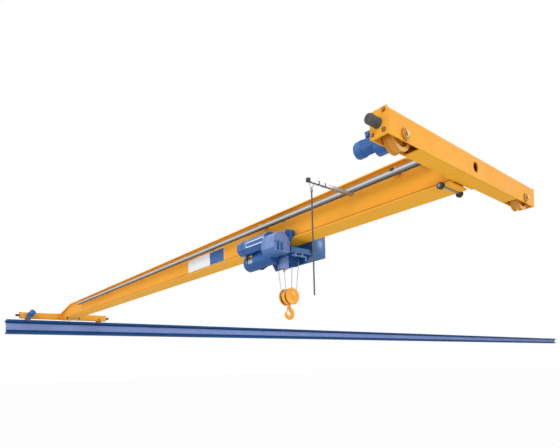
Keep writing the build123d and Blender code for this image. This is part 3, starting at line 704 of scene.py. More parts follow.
class CRANE_OT_runway_fixings(Operator):
    """Clips the crane rail down and welds the beam's bays together"""

    bl_idname = "crane.runway_fixings"
    bl_label = "Runway fixings"

    def execute(self, context):
        fixings = context.scene.crane_fixings
        beam_low, beam_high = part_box("runway_beam")
        rail_low, rail_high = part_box("crane_rail")
        rail_half = (rail_high.x - rail_low.x) / 2
        length = beam_high.y - beam_low.y
        clip_width, clip_height, bolt_reach = 0.05, 0.011, 0.026
        bm = shell()
        count = int(length / fixings.clip_pitch)
        for number in range(count):
            y = beam_low.y + (number + 0.5) * length / count
            for side in SIDES:
                foot = Vector((side * rail_half, y - clip_width / 2, beam_high.z))
                cuboid(bm, foot, foot + Vector((side * clip_width, clip_width, clip_height)))
                seat = (side * (rail_half + bolt_reach), y, beam_high.z + clip_height)
                bolt_head(bm, seat, Z, fixings.bolt)
        piece(bm, "rail_clips", "runway", "zinc")

        bm = shell()
        band_half, sunk, proud = 0.72 * rail_half, 0.0005, 0.0002
        foot = (-band_half, rail_low.y, rail_high.z - sunk)
        cuboid(bm, foot, (band_half, rail_high.y, rail_high.z + proud))
        piece(bm, "rail_running_band", "runway", "bare steel")

        bm = shell()
        bays = 6
        leg = fixings.weld / 2
        along = Vector((0, 1.5 * leg, 0))
        corner = beam_flange + beam_root
        for number in range(1, bays):
            y = beam_low.y + number * length / bays
            for side in SIDES:
                web, edge = side * beam_web / 2, side * beam_high.x
                runs = ((web, corner, beam_high.z - corner), (edge, leg, beam_flange - leg))
                for x, foot, top in (*runs, (edge, beam_high.z - beam_flange + leg, beam_high.z - leg)):
                    cuboid(bm, Vector((x, y, foot)) - along, Vector((x + side * leg, y, top)) + along)
        piece(bm, "bay_welds", "runway", "runway paint")
        return {"FINISHED"}


class CRANE_OT_girder_details(Operator):
    """Adds the girder's weld beads, end-joint bolts and the blank placard"""

    bl_idname = "crane.girder_details"
    bl_label = "Girder details"

    def execute(self, context):
        fixings = context.scene.crane_fixings
        self.welds(fixings.weld)
        self.head_plate_bolts(fixings.bolt * 0.8)
        self.placard(fixings.screw)
        return {"FINISHED"}

    def welds(self, leg):
        start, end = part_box("girder_box")
        far_taper, near_taper = 1.01, 0.4
        seam_shares, seam_half, seam_proud, seam_gap = (0.36, 0.68), 0.004, 0.0015, 0.008
        foot, top = start.z + girder_foot_flange, end.z - girder_top_flange
        shoulder = high("carriage_near").z - girder_top_flange
        bm = shell()
        for side in SIDES:
            y = bridge_y + side * girder_web_reach
            bead(bm, ((start.x, y, foot), (end.x, y, foot)), side * Y, Z, leg)
            rise, fall = (start.x + far_taper, y, top), (end.x - near_taper, y, top)
            bead(bm, ((start.x, y, shoulder), rise, fall, (end.x, y, shoulder)), side * Y, -Z, leg)
            for share in seam_shares:
                x = start.x + share * (end.x - start.x)
                corner = (x - seam_half, y, foot + seam_gap)
                cuboid(bm, corner, (x + seam_half, y + side * seam_proud, top - seam_gap))
        piece(bm, "girder_welds", "bridge", "girder paint")

    def head_plate_bolts(self, width):
        start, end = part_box("head_plates")
        plate, rise, reaches = 0.015, 0.048, (0.162, 0.2)
        centre = (start + end) / 2
        bm = shell()
        for x, direction in ((start.x + plate, X), (end.x - plate, -X)):
            for side in SIDES:
                for z in (centre.z - rise, centre.z + rise):
                    for reach in reaches:
                        bolt_head(bm, (x, bridge_y + side * reach, z), direction, width)
        piece(bm, "head_plate_bolts", "bridge", "zinc")

    def placard(self, screw):
        left, right, foot, top = 7.56, 8.58, 0.452, 0.634
        thickness, print_depth, margin, field_width, rivet_inset = 0.002, 0.0008, 0.004, 0.366, 0.02
        back = bridge_y - girder_web_reach
        face = back - thickness
        bm = shell()
        cuboid(bm, (left, face, foot), (right, back, top))
        soften(bm, 0.0008, 1)
        piece(bm, "placard", "bridge", "white plate")
        bm = shell()
        edge = right - margin
        corner = (edge - field_width, face - print_depth, foot + margin)
        cuboid(bm, corner, (edge, face, top - margin))
        piece(bm, "placard_field", "bridge", "blue field")
        bm = shell()
        for x in (left + rivet_inset, right - rivet_inset):
            for z in (foot + rivet_inset, top - rivet_inset):
                screw_head(bm, (x, face - print_depth, z), -Y, screw)
        piece(bm, "placard_rivets", "bridge", "zinc")


class CRANE_OT_carriage_details(Operator):
    """Bolts the end plates, covers the axle ends and welds the carriages' seams"""

    bl_idname = "crane.carriage_details"
    bl_label = "End carriage details"

    def execute(self, context):
        for place in ("near", "far"):
            self.dress(context.scene.crane_fixings, place)
        return {"FINISHED"}

    def dress(self, fixings, place):
        start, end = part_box(f"carriage_{place}")
        centre_x = (start.x + end.x) / 2
        box_top = end.z - carriage_rim
        inset, foot_gap, top_gap = 0.02, 0.024, 0.022
        leg = fixings.weld * 0.7
        bolts, caps, seams = shell(), shell(), shell()
        for side, y in ((-1, start.y), (1, end.y)):
            inside = y - side * end_plate
            corners = []
            for across in SIDES:
                for z in (start.z + foot_gap, end.z - top_gap):
                    spot = (centre_x + across * (carriage_half - inset), y, z)
                    bolt_head(bolts, spot, side * Y, fixings.bolt * 0.85)
                x = centre_x + across * carriage_half
                corners.append((x, inside, box_top))
                bead(seams, ((x, inside, start.z), corners[-1]), across * X, -side * Y, leg)
            bead(seams, corners, Z, -side * Y, leg)
        for letter in "ab":
            axle = middle(f"wheel_{place}_{letter}")
            for side in SIDES:
                driven = letter == "a" and (side < 0) == (place == "near")
                if not driven:
                    self.axle_cap(caps, axle + side * carriage_half * X, side * X, fixings.screw * 0.8)
        outward = 1 if place == "near" else -1
        hole = Vector((centre_x + outward * carriage_half, bridge_y, (start.z + box_top) / 2))
        rim = ((0, 0.0382), (0, 0.043), (0.0015, 0.043), (0.003, 0.0405), (0.0015, 0.0382), (0, 0.0382))
        lathe(seams, hole, outward * X, rim, 48)
        piece(bolts, f"end_plate_bolts_{place}", "bridge", "zinc")
        piece(caps, f"axle_caps_{place}", "bridge", "zinc")
        piece(seams, f"carriage_welds_{place}", "bridge", "girder paint")

    def axle_cap(self, bm, box_side, axis, screw):
        """Seal ring, cap, nut and four screws on an axle's end."""
        stub, seal_depth, cap_height, nut_top = 0.014, 0.01, 0.006, 0.013
        nut_radius, screw_circle = 0.017, 0.0245
        seat = box_side + stub * axis
        seal = ((0, 0.036), (0, 0.041), (0.004, 0.041), (0.005, 0.04), (0.005, 0.036), (0, 0.036))
        lathe(bm, seat - seal_depth * axis, axis, seal, 40)
        cap = ((0, 0), (0, 0.03), (0.004, 0.03), (cap_height, 0.027), (cap_height, 0))
        lathe(bm, seat, axis, cap, 40)
        face = seat + cap_height * axis
        rod(bm, face, seat + nut_top * axis, nut_radius, 6)
        for turn in range(4):
            screw_head(bm, face + around(45 + 90 * turn) * screw_circle, axis, screw)


class CRANE_OT_buffers(Operator):
    """Moulds the carriage buffers and the trolley's end stops in rubber"""

    bl_idname = "crane.buffers"
    bl_label = "Buffers and end stops"

    def execute(self, context):
        for place in ("near", "far"):
            self.carriage_buffers(place)
        self.end_stops()
        return {"FINISHED"}

    def carriage_buffers(self, place):
        start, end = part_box(f"buffers_{place}")
        centre = (start + end) / 2
        plate, sides = 0.006, 56
        radius = (end.z - start.z) / 2 * 0.9
        waist_shares = ((0.3, 0.92), (0.34, 0.86), (0.4, 0.86), (0.44, 0.94), (0.88, 0.97))
        nose_shares = ((0.97, 0.9), (1, 0.76), (1, 0.3), (0.97, 0.24), (0.97, 0))
        carriage = f"carriage_{place}"
        bm, rings = shell(), shell()
        for side, foot, tip in ((-1, low(carriage).y, start.y), (1, high(carriage).y, end.y)):
            seat = Vector((centre.x, foot, centre.z))
            body = scaled((*waist_shares, *nose_shares), abs(tip - foot), radius)
            lathe(bm, seat, side * Y, ((plate, 0), (plate, radius * 0.96), *body), sides)
            lathe(rings, seat, side * Y, ((0, 0), (0, radius), (plate, radius), (plate, 0)), sides)
        rubber = piece(bm, f"carriage_buffer_rubbers_{place}", "bridge", "buffer rubber")
        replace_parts(rubber, f"buffers_{place}")
        piece(rings, f"buffer_plates_{place}", "bridge", "rail steel")

    def end_stops(self):
        start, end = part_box("stop_rubbers")
        radius = (end.z - start.z) / 2
        bore, washer, nut = 0.007, 0.003, 0.008
        flange = size("girder_box").y / 2
        length = (end.y - start.y) / 2 - flange
        waist_shares = ((0, 1), (0.28, 1), (0.36, 0.84), (0.5, 0.84), (0.58, 0.98), (0.9, 0.98), (1, 0.8))
        profile = ((0, bore), *scaled(waist_shares, length, radius), (length, bore), (0, bore))
        bm, nuts = shell(), shell()
        for x in (start.x + radius, end.x - radius):
            for side in SIDES:
                seat = Vector((x, bridge_y + side * flange, (start.z + end.z) / 2))
                lathe(bm, seat, side * Y, profile, 40)
                face = seat + side * length * Y
                rod(nuts, face, face + side * washer * Y, 0.015, 20)
                rod(nuts, face + side * washer * Y, face + side * (washer + nut) * Y, 0.0115, 6)
        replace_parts(piece(bm, "trolley_stop_rubbers", "bridge", "rubber"), "stop_rubbers")
        piece(nuts, "stop_nuts", "bridge", "rail steel")


class CRANE_OT_travel_drives(Operator):
    """Builds the finned travel motors and dresses their gear cases"""

    bl_idname = "crane.travel_drives"
    bl_label = "Travel drives"

    def execute(self, context):
        for place, inward in (("near", -1), ("far", 1)):
            self.motor(context.scene.crane_fixings.screw * 0.7, place, inward)
        return {"FINISHED"}

    def motor(self, screw, place, inward):
        start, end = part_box(f"drive_motor_{place}")
        centre = (start + end) / 2
        radius = (end.z - start.z) / 2
        length = end.x - start.x
        root = Vector((end.x if inward < 0 else start.x, centre.y, centre.z))
        axis = inward * X
        bm = shell()
        lathe(bm, root, axis, self.profile(length, radius), 64)
        fins, fin_half, fin_start = 18, 0.0016, 0.013
        for number in range(fins):
            outward = around(360 * (number + 0.5) / fins)
            across = X.cross(outward) * fin_half
            foot = root + axis * fin_start + outward * radius * 0.82
            crest = foot + outward * radius * 0.09
            outline = (foot - across, foot + across, crest + across * 0.6, crest - across * 0.6)
            prism(bm, outline, axis * length * 0.65)
        body = piece(bm, f"travel_motor_{place}", "bridge", "hoist paint")
        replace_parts(body, f"drive_motor_{place}")

        bm = shell()
        seat = root + axis * length * 0.32 + Z * radius * 0.82
        half_x, half_y, height, lid_foot, lid_top, overhang = 0.04, 0.034, 0.034, 0.03, 0.038, 0.002
        cuboid(bm, seat - Vector((half_x, half_y, 0)), seat + Vector((half_x, half_y, height)))
        soften(bm, 0.005, 3)
        lid = Vector((half_x + overhang, half_y + overhang, 0))
        cuboid(bm, seat - lid + lid_foot * Z, seat + lid + lid_top * Z)
        gland = seat + Vector((0, -half_y, 0.016))
        rod(bm, gland, gland - 0.018 * Y, 0.011, 16)
        piece(bm, f"travel_terminal_box_{place}", "bridge", "hoist paint")

        bm = shell()
        inset = 0.006
        for across in SIDES:
            for along in SIDES:
                spot = Vector((across * (half_x - inset), along * (half_y - inset), lid_top))
                screw_head(bm, seat + spot, Z, screw)
        gear_low, gear_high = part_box(f"drive_gear_case_{place}")
        depth = (gear_high.x - gear_low.x) * 2 / 3
        face = Vector((gear_high.x - depth if inward < 0 else gear_low.x + depth, centre.y, centre.z))
        bolts, pitch_radius, bolt = 8, 0.0685, 0.009
        for number in range(bolts):
            bolt_head(bm, face + around(360 * (number + 0.5) / bolts) * pitch_radius, axis, bolt)
        piece(bm, f"travel_drive_screws_{place}", "bridge", "zinc")

    def profile(self, length, radius):
        """A flange, the finned barrel and a fan cowl with two grooves in its end."""
        flange, groove = 0.012, 0.004
        points = [(0, 0), (0, radius * 0.97), (flange, radius * 0.97), (flange + 0.002, radius * 0.86)]
        barrel_shares = ((0.66, 0.86), (0.68, 0.95), (0.7, 0.98))
        cowl_shares = ((0.92, 0.97), (0.97, 0.9), (1, 0.72))
        points += scaled((*barrel_shares, *cowl_shares), length, radius)
        for rim_share in (0.62, 0.38):
            for depth, step_share in ((0, 0), (groove, 0.02), (groove, 0.12), (0, 0.14)):
                points.append((length - depth, radius * (rim_share - step_share)))
        return (*points, (length, 0))


class CRANE_OT_festoon(Operator):
    """Caps the festoon rail and bolts its brackets"""

    bl_idname = "crane.festoon"
    bl_label = "Festoon rail"

    def execute(self, context):
        fixings = context.scene.crane_fixings
        start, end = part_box("festoon_rail")
        cap, clip_x, clip_half, clip_rise, clip_wrap, clip_drop = 0.004, 11.433, 0.02, 0.012, 0.004, 0.014
        bm = shell()
        for x in (start.x - cap, end.x):
            cuboid(bm, (x, start.y, start.z), (x + cap, end.y, end.z))
        left, right, top = clip_x - clip_half, clip_x + clip_half, end.z + clip_rise
        cuboid(bm, (left, start.y + 2 * clip_wrap, end.z), (right, end.y - clip_wrap, top))
        cuboid(bm, (left, start.y - clip_wrap, end.z - clip_drop), (right, start.y, top))
        soften(bm, 0.0012, 2)
        piece(bm, "rail_end_caps", "bridge", "black plastic")

        bm = shell()
        bracket_low, bracket_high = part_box("festoon_brackets")
        count, bracket_half, inset, hook_inset, hook_rise = 6, 0.03, 0.012, 0.008, 0.016
        pitch = (bracket_high.x - bracket_low.x - 2 * bracket_half) / count
        for number in range(count + 1):
            x = bracket_low.x + bracket_half + number * pitch
            for y in (start.y + inset, end.y - inset):
                bolt_head(bm, (x, y, bracket_high.z), Z, fixings.bolt * 0.55)
            seat = (x, bracket_high.y - hook_inset, bracket_low.z + hook_rise)
            bolt_head(bm, seat, -Y, fixings.bolt * 0.5)
        piece(bm, "bracket_bolts", "bridge", "zinc")
        return {"FINISHED"}


class CRANE_OT_pendant(Operator):
    """Builds the slotted arm, its wire hanger and the pendant cable"""

    bl_idname = "crane.pendant"
    bl_label = "Pendant arm and cable"

    def execute(self, context):
        self.arm()
        self.hanger()
        self.cable()
        return {"FINISHED"}

    def arm(self):
        """A channel with its back upwards, and rungs across its open foot."""
        start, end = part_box("pendant_arm")
        wall, lip, rungs, rung = 0.003, 0.005, 12, 0.014
        left, right = start.x + wall, end.x - wall
        bm = shell()
        cuboid(bm, start, (left, end.y, end.z))
        cuboid(bm, (right, start.y, start.z), end)
        cuboid(bm, (left, start.y, end.z - wall), (right, end.y, end.z))
        for x in (left, right - lip):
            cuboid(bm, (x, start.y, start.z), (x + lip, end.y, start.z + wall))
        pitch = (end.y - start.y - rung) / rungs
        for number in range(rungs + 1):
            y = start.y + number * pitch
            cuboid(bm, (left + lip, y, start.z), (right - lip, y + rung, start.z + wall))
        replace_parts(piece(bm, "slotted_arm", "pendant", "arm profile"), "pendant_arm")

        bm = shell()
        wrap = 0.002
        for reach, length in ((-0.006, 0.028), (0.12, 0.012), (0.2, 0.012)):
            foot = Vector((start.x - wrap, start.y + reach, start.z - wrap))
            cuboid(bm, foot, (end.x + wrap, foot.y + length, end.z + wrap))
        soften(bm, 0.0025, 3)
        piece(bm, "arm_grips", "pendant", "black plastic")

    def hanger(self):
        """Two wires that splay up from a clamp to buttons on the arm."""
        start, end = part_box("cable_hanger")
        x, y = (start.x + end.x) / 2, (start.y + end.y) / 2
        clamp_height, splay, wire = 0.026, 0.036, 0.0028
        wire_gap, wire_rise, button, button_height = 0.005, 0.004, 0.0065, 0.002
        nozzle, nozzle_tip, nozzle_sunk, nozzle_rise = 0.008, 0.006, 0.002, 0.012
        clamp_top = start.z + clamp_height
        bm = shell()
        for side in SIDES:
            top = Vector((x, y + side * splay, end.z))
            rod(bm, (x, y + side * wire_gap, clamp_top + wire_rise), top, wire, 12)
            rod(bm, top - button_height * Z, top, button, 16)
        rod(bm, (x, y, clamp_top - nozzle_sunk), (x, y, clamp_top + nozzle_rise), nozzle, 20, nozzle_tip)
        collar = ((0, 0.0072), (0, 0.011), (0.004, 0.0128), (0.008, 0.0128), (0.01, 0.0115))
        sleeve = ((0.022, 0.0115), (clamp_height, 0.009), (clamp_height, 0))
        lathe(bm, (x, y, start.z), Z, (*collar, *sleeve), 32)
        close_ends(bm)
        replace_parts(piece(bm, "wire_hanger", "pendant", "rail steel"), "cable_hanger")

    def cable(self):
        start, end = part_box("pendant_cable")
        radius = (end.x - start.x) / 2
        x, y = (start.x + end.x) / 2, (start.y + end.y) / 2
        curve = bpy.data.curves.new("hanging_cable", "CURVE")
        curve.dimensions = "3D"
        curve.bevel_depth = radius
        curve.bevel_resolution = 5
        curve.use_fill_caps = True
        curve.resolution_u = 12
        spline = curve.splines.new("NURBS")
        route = ((x, y, end.z), (x, y, end.z - 0.1), (x, y, start.z))
        spline.points.add(len(route) - 1)
        for point, place in zip(spline.points, route):
            point.co = (*place, 1)
        spline.order_u = 3
        spline.use_endpoint_u = True
        curve.materials.append(bpy.data.materials["cable sheath"])
        cable = placed("hanging_cable", curve)
        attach(cable, "pendant")
        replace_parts(cable, "pendant_cable")


class CRANE_OT_trolley_details(Operator):
    """Bolts the trolley's frames together, covers its wheel axles and guards the drum"""

    bl_idname = "crane.trolley_details"
    bl_label = "Trolley frame"

    def execute(self, context):
        self.fixings(context.scene.crane_fixings.bolt * 0.6)
        self.drum_ends()
        self.limit_bar()
        return {"FINISHED"}

    def fixings(self, width):
        wheel_low, wheel_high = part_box("trolley_wheels")
        tube_low, tube_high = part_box("cross_tube")
        tread = (wheel_high.z - wheel_low.z) / 2
        axle_z = (wheel_high.z + wheel_low.z) / 2
        boss, washer, nut = 0.011, 0.014, 0.025
        boss_profile = ((0, 0), (0, 0.036), (0.008, 0.036), (boss, 0.033), (boss, 0))
        tube_inset = 0.012
        joints = {"cross_frame_left": middle("cross_frame_left").x}
        joints["cross_frame_right"] = high("cross_frame_right").x - cross_frame_plate / 2
        bosses, bolts = shell(), shell()
        for side, face, drops in (
            (-1, low("side_plate_near").y, (-0.03,)),
            (1, high("side_plate_far").y, (0.03, 0.07)),
        ):
            axis = side * Y
            for x in (wheel_low.x + tread, wheel_high.x - tread):
                seat = Vector((x, face, axle_z))
                lathe(bosses, seat, axis, boss_profile, 40)
                rod(bolts, seat + boss * axis, seat + washer * axis, 0.019, 24)
                rod(bolts, seat + washer * axis, seat + nut * axis, 0.015, 6)
            for node, x in joints.items():
                for drop in drops:
                    bolt_head(bolts, (x, face, high(node).z - drop), axis, width)
            for z in (tube_low.z + tube_inset, tube_high.z - tube_inset):
                bolt_head(bolts, ((tube_low.x + tube_high.x) / 2, face, z), axis, width)
        piece(bosses, "wheel_axle_bosses", "trolley", "hoist cover paint")
        bearing = middle("rope_drum")
        for x, axis in ((low("cross_frame_left").x, -X), (high("cross_frame_right").x, X)):
            for turn in range(6):
                spot = Vector((x, bearing.y, bearing.z)) + around(60 * turn + 30) * 0.05
                bolt_head(bolts, spot, axis, 0.012)
        piece(bolts, "trolley_bolts", "trolley", "hoist cover paint")

    def drum_ends(self):
        """Bearing caps, and the guard over the grooves that the drum's cover leaves open."""
        bearing = middle("rope_drum")
        frame_left, frame_right = low("cross_frame_left").x, high("cross_frame_right").x
        cap = ((0, 0), (0, 0.066), (0.006, 0.066), (0.009, 0.062))
        bm = shell()
        seat = Vector((frame_left, bearing.y, bearing.z))
        lathe(bm, seat, -X, (*cap, (0.009, 0.03), (0.02, 0.026), (0.02, 0)), 48)
        seat = Vector((frame_right, bearing.y, bearing.z))
        lathe(bm, seat, X, (*cap, (0.009, 0)), 48)
        piece(bm, "drum_bearing_caps", "trolley", "hoist cover paint")

        cover_length, radius, wall, hood_width = 0.33, 0.092, 0.004, 0.05
        flange_radius, flange_depth, flange_width = 0.0855, 0.0065, 0.006
        back, brow, chin = 100, 196, 322
        left = frame_left - 0.003
        cover = frame_right - cross_frame_plate - cover_length
        bm = shell()
        arc_sheet(bm, bearing, radius, wall, (left, cover + 0.004), (brow, chin), 36)
        arc_sheet(bm, bearing, radius, wall, (left, left + hood_width), (back, brow), 28)
        arc_sheet(bm, bearing, flange_radius, flange_depth, (left, left + flange_width), (back, chin), 56)
        piece(bm, "drum_guard", "trolley", "hoist cover paint")

    def limit_bar(self):
        """A bent bar on two brackets under the cross tube."""
        start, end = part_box("cross_tube")
        inset, drop, radius, elbow, tail = 0.012, 0.034, 0.0075, 0.006, 0.045
        start_gap, end_gap, first_bracket, last_bracket = 0.03, 0.085, 0.07, 0.14
        bracket_width, bracket_back, bracket_reach = 0.008, 0.016, 0.011
        x, z, bend_y = end.x - inset, start.z - drop, end.y - end_gap
        bm = shell()
        rod(bm, (x, start.y + start_gap, z), (x, bend_y, z), radius, 16)
        rod(bm, (x, bend_y, z + elbow), (x, bend_y, z - tail), radius, 16)
        for y in (start.y + first_bracket, end.y - last_bracket):
            foot = (x - bracket_back, y, z - bracket_reach)
            cuboid(bm, foot, (x + bracket_reach, y + bracket_width, start.z))
        # The bar takes the lit gear case paint, painted light that shows it as a pale line.
        piece(bm, "limit_bar", "trolley", "gear case paint")


class CRANE_OT_motor(Operator):
    """Fits the hoist motor's bands, screws, air grille and blank label"""

    bl_idname = "crane.motor"
    bl_label = "Hoist motor"

    def execute(self, context):
        cap_low, cap_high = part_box("motor_end_cap")
        body_low, body_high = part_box("motor_housing")
        centre = (cap_low + cap_high) / 2
        flat = (body_high.y - body_low.y) / 2
        bm = shell()
        for x, grow in ((body_low.x + 0.002, 0.0035), (body_high.x - 0.016, 0.005)):
            self.band(bm, Vector((x, centre.y, centre.z)), 0.012, flat + grow)
        piece(bm, "motor_bands", "trolley", "hoist paint")

        face = Vector((cap_low.x, centre.y, centre.z))
        bolt_circle, bolt, sunk, collar = 0.07, 0.012, 0.004, 0.022
        screws = shell()
        for turn in range(4):
            seat = face + sunk * X + around(67.5 + 90 * turn) * bolt_circle
            bolt_head(screws, seat, -X, bolt)
        edge = Vector((cap_high.x - collar, centre.y, centre.z))
        for turn in range(8):
            outward = around(45 * turn)
            seat = edge + outward * (cap_high.y - cap_low.y) / 2
            screw_head(screws, seat, outward, context.scene.crane_fixings.screw)
        piece(screws, "motor_screws", "trolley", "zinc")

        rib, sunk, proud = 0.0045, 0.001, 0.002
        grille = shell()
        for radius in (0.012, 0.024, 0.036, 0.048, 0.06):
            outer = radius + rib
            section = ((-sunk, radius), (proud, radius), (proud, outer), (-sunk, outer), (-sunk, radius))
            lathe(grille, face, -X, section, 48)
        hub = face - sunk * X
        for turn in range(4):
            outward = around(90 * turn + 45)
            rod(grille, hub + outward * 0.008, hub + outward * 0.066, 0.0018, 8)
        piece(grille, "motor_grille", "trolley", "black plastic")

        label_low, label_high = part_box("label_plate")
        margin, proud, sunk = 0.009, 0.0006, 0.001
        bm = shell()
        corner = (label_low.x + margin, label_low.y - proud, label_low.z + margin)
        cuboid(bm, corner, (label_high.x - margin, label_low.y + sunk, label_high.z - margin))
        piece(bm, "label_field", "trolley", "blue field")
        return {"FINISHED"}

    def band(self, bm, centre, width, flat):
        """An eight-sided band about a line along X, flat away from it at its sides."""
        corner = flat / math.cos(math.radians(22.5))
        prism(bm, [centre + around(45 * turn + 22.5) * corner for turn in range(8)], width * X)


class CRANE_OT_gear_case(Operator):
    """Casts the gear case with its round top, ribs and pockets, and bolts its end cover on"""

    bl_idname = "crane.gear_case"
    bl_label = "Gear case"

    def execute(self, context):
        start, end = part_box("gearbox_housing")
        centre = (start + end) / 2
        radius = min(end.y - start.y, end.z - start.z) / 2 - 0.003
        back = end.x - 0.016
        bm = shell()
        prism(bm, self.outline(start.x, centre, radius), (back - start.x) * X)
        soften(bm, 0.009, 3)
        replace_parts(piece(bm, "gear_case", "trolley", "gear case paint"), "gearbox_housing")
        self.ribs(start.x, back, centre, radius)
        self.bolts(start.x, back, centre, radius)
        return {"FINISHED"}

    def outline(self, x, centre, radius):
        """Round above, straight at the sides and cut off at the lower corners."""
        axis = Vector((x, centre.y, centre.z))
        side, foot, shoulder, chamfer = radius * Y, -radius * Z, radius * 0.42 * Z, radius * 0.72 * Y
        points = [axis + around(7.5 * turn) * radius for turn in range(25)]
        return [*points, *(axis + foot + p for p in (shoulder - side, -chamfer, chamfer, shoulder + side))]

    def ribs(self, front, back, centre, radius):
        """Bands round the case, and ribs with round heads and sunk pockets on its end; the pockets are dark
        slabs, painted shade between the ribs.
        """
        bm = shell()
        for x, width in ((0.001, 0.014), (0.03, 0.007), (0.048, 0.007)):
            prism(bm, self.outline(front + x, centre, radius + 0.003), width * X)
        soften(bm, 0.002, 2)
        rib_shares, sunk, proud, half, head = (-0.78, -0.32, 0.14, 0.8), 0.004, 0.01, 0.006, 0.0095
        foot, top = centre.z - radius * 0.86, centre.z + radius * 0.02
        left, right, sill = back - sunk, back + proud, 0.005
        for share in rib_shares:
            y = centre.y + share * radius
            cuboid(bm, (left, y - half, foot), (right, y + half, top))
            rod(bm, (left, y, top), (right, y, top), head, 20)
        reach = radius * 0.7
        cuboid(bm, (left, centre.y - reach, foot - sill), (right, centre.y + reach, foot + sill))
        cover = ((0, 0), (0, radius * 0.5), (0.004, radius * 0.49), (0.006, radius * 0.44), (0.006, 0))
        lathe(bm, Vector((back - 0.001, centre.y, centre.z + radius * 0.38)), X, cover, 56)
        piece(bm, "gear_case_ribs", "trolley", "gear case paint")

        # Painted shade: dark slabs in the pockets between the ribs.
        bm = shell()
        for low_share, high_share in zip(rib_shares[:2], rib_shares[1:3]):
            corner = (left, centre.y + low_share * radius + half, foot + sill)
            cuboid(bm, corner, (back + 0.0015, centre.y + high_share * radius - half, top - 0.002))
        piece(bm, "gear_case_pocket_shade", "trolley", "hoist cover paint")

    def bolts(self, front, back, centre, radius):
        axis = Vector((back, centre.y, centre.z))
        cover_bolt, foot_bolt, plug = 0.012, 0.014, 0.009
        bm = shell()
        for turn in range(7):
            bolt_head(bm, axis + around(30 * turn) * radius * 0.9, X, cover_bolt)
        seat = axis + radius * 0.5 * (Y - Z)
        rod(bm, seat, seat + plug * X, 0.012, 6)
        for share in (0.2, 0.9):
            x = front + share * (back - front)
            for y in (centre.y + radius * 0.5, centre.y - radius * 0.5):
                bolt_head(bm, (x, y, centre.z - radius), -Z, foot_bolt)
        piece(bm, "gear_case_bolts", "trolley", "gear case paint")


class CRANE_OT_electrics(Operator):
    """Gives the electrics box its lid, hinges, locks, glands and brackets"""

    bl_idname = "crane.electrics"
    bl_label = "Electrics box"

    def execute(self, context):
        start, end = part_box("electrics_box")
        self.lid_and_panels(start, end)
        self.fittings(start, end, context.scene.crane_fixings.screw)
        plate = high("side_plate_far").y
        width, height, sunk = 0.04, 0.012, 0.001
        bm = shell()
        for x in (start.x + 0.06, end.x - 0.1):
            for z in (start.z + 0.03, start.z + 0.1):
                cuboid(bm, (x, plate - sunk, z), (x + width, start.y + sunk, z + height))
        piece(bm, "box_brackets", "trolley", "hoist cover paint")
        return {"FINISHED"}

    def lid_and_panels(self, start, end):
        side_inset, rim_inset, sunk, lid, panel = 0.012, 0.016, 0.001, 0.005, 0.003
        bm = shell()
        corner = (start.x + side_inset, end.y - sunk, start.z + rim_inset)
        cuboid(bm, corner, (end.x - side_inset, end.y + lid, end.z - rim_inset))
        soften(bm, 0.0025, 2)
        piece(bm, "box_lid", "trolley", "hoist cover paint")
        bm = shell()
        for left, right in ((end.x - sunk, end.x + panel), (start.x - panel, start.x + sunk)):
            cuboid(bm, (left, start.y + 0.018, start.z + 0.02), (right, end.y - 0.02, end.z - 0.02))
        soften(bm, 0.0018, 2)
        piece(bm, "box_end_panels", "trolley", "hoist paint")

    def fittings(self, start, end, screw):
        """Hinges along the top, locks below them, end screws and cable glands."""
        hinge_half, hinge_radius, hinge_out, hinge_drop = 0.025, 0.006, 0.007, 0.014
        lock_rise, lock_radius, lock_foot, lock_face, slot_face = 0.035, 0.011, 0.004, 0.010, 0.0125
        slot_half, slot_reach, panel, inset = 0.0015, 0.007, 0.003, 0.034
        bm, dark = shell(), shell()
        for share in (0.15, 0.5, 0.85):
            hinge = Vector((start.x + share * (end.x - start.x), end.y + hinge_out, end.z - hinge_drop))
            rod(bm, hinge - hinge_half * X, hinge + hinge_half * X, hinge_radius, 14)
            lock = Vector((hinge.x, end.y, start.z + lock_rise))
            rod(bm, lock + lock_foot * Y, lock + lock_face * Y, lock_radius, 20)
            slot = Vector((slot_half, 0, slot_reach))
            cuboid(bm, lock + lock_face * Y - slot, lock + slot_face * Y + slot)
        for y in (start.y + 0.03, end.y - inset):
            for z in (start.z + inset, end.z - inset):
                screw_head(bm, (end.x + panel, y, z), X, screw)
                screw_head(bm, (start.x - panel, y, z), -X, screw)
        first, pitch, collar, nose = 0.12, 0.075, 0.004, 0.015
        for number in range(5):
            seat = Vector((start.x + first + pitch * number, (start.y + end.y) / 2, start.z))
            rod(dark, seat, seat - collar * Z, 0.016, 6)
            rod(dark, seat - collar * Z, seat - nose * Z, 0.0125, 20, 0.009)
        piece(bm, "box_fittings", "trolley", "zinc")
        piece(dark, "box_glands", "trolley", "black plastic")


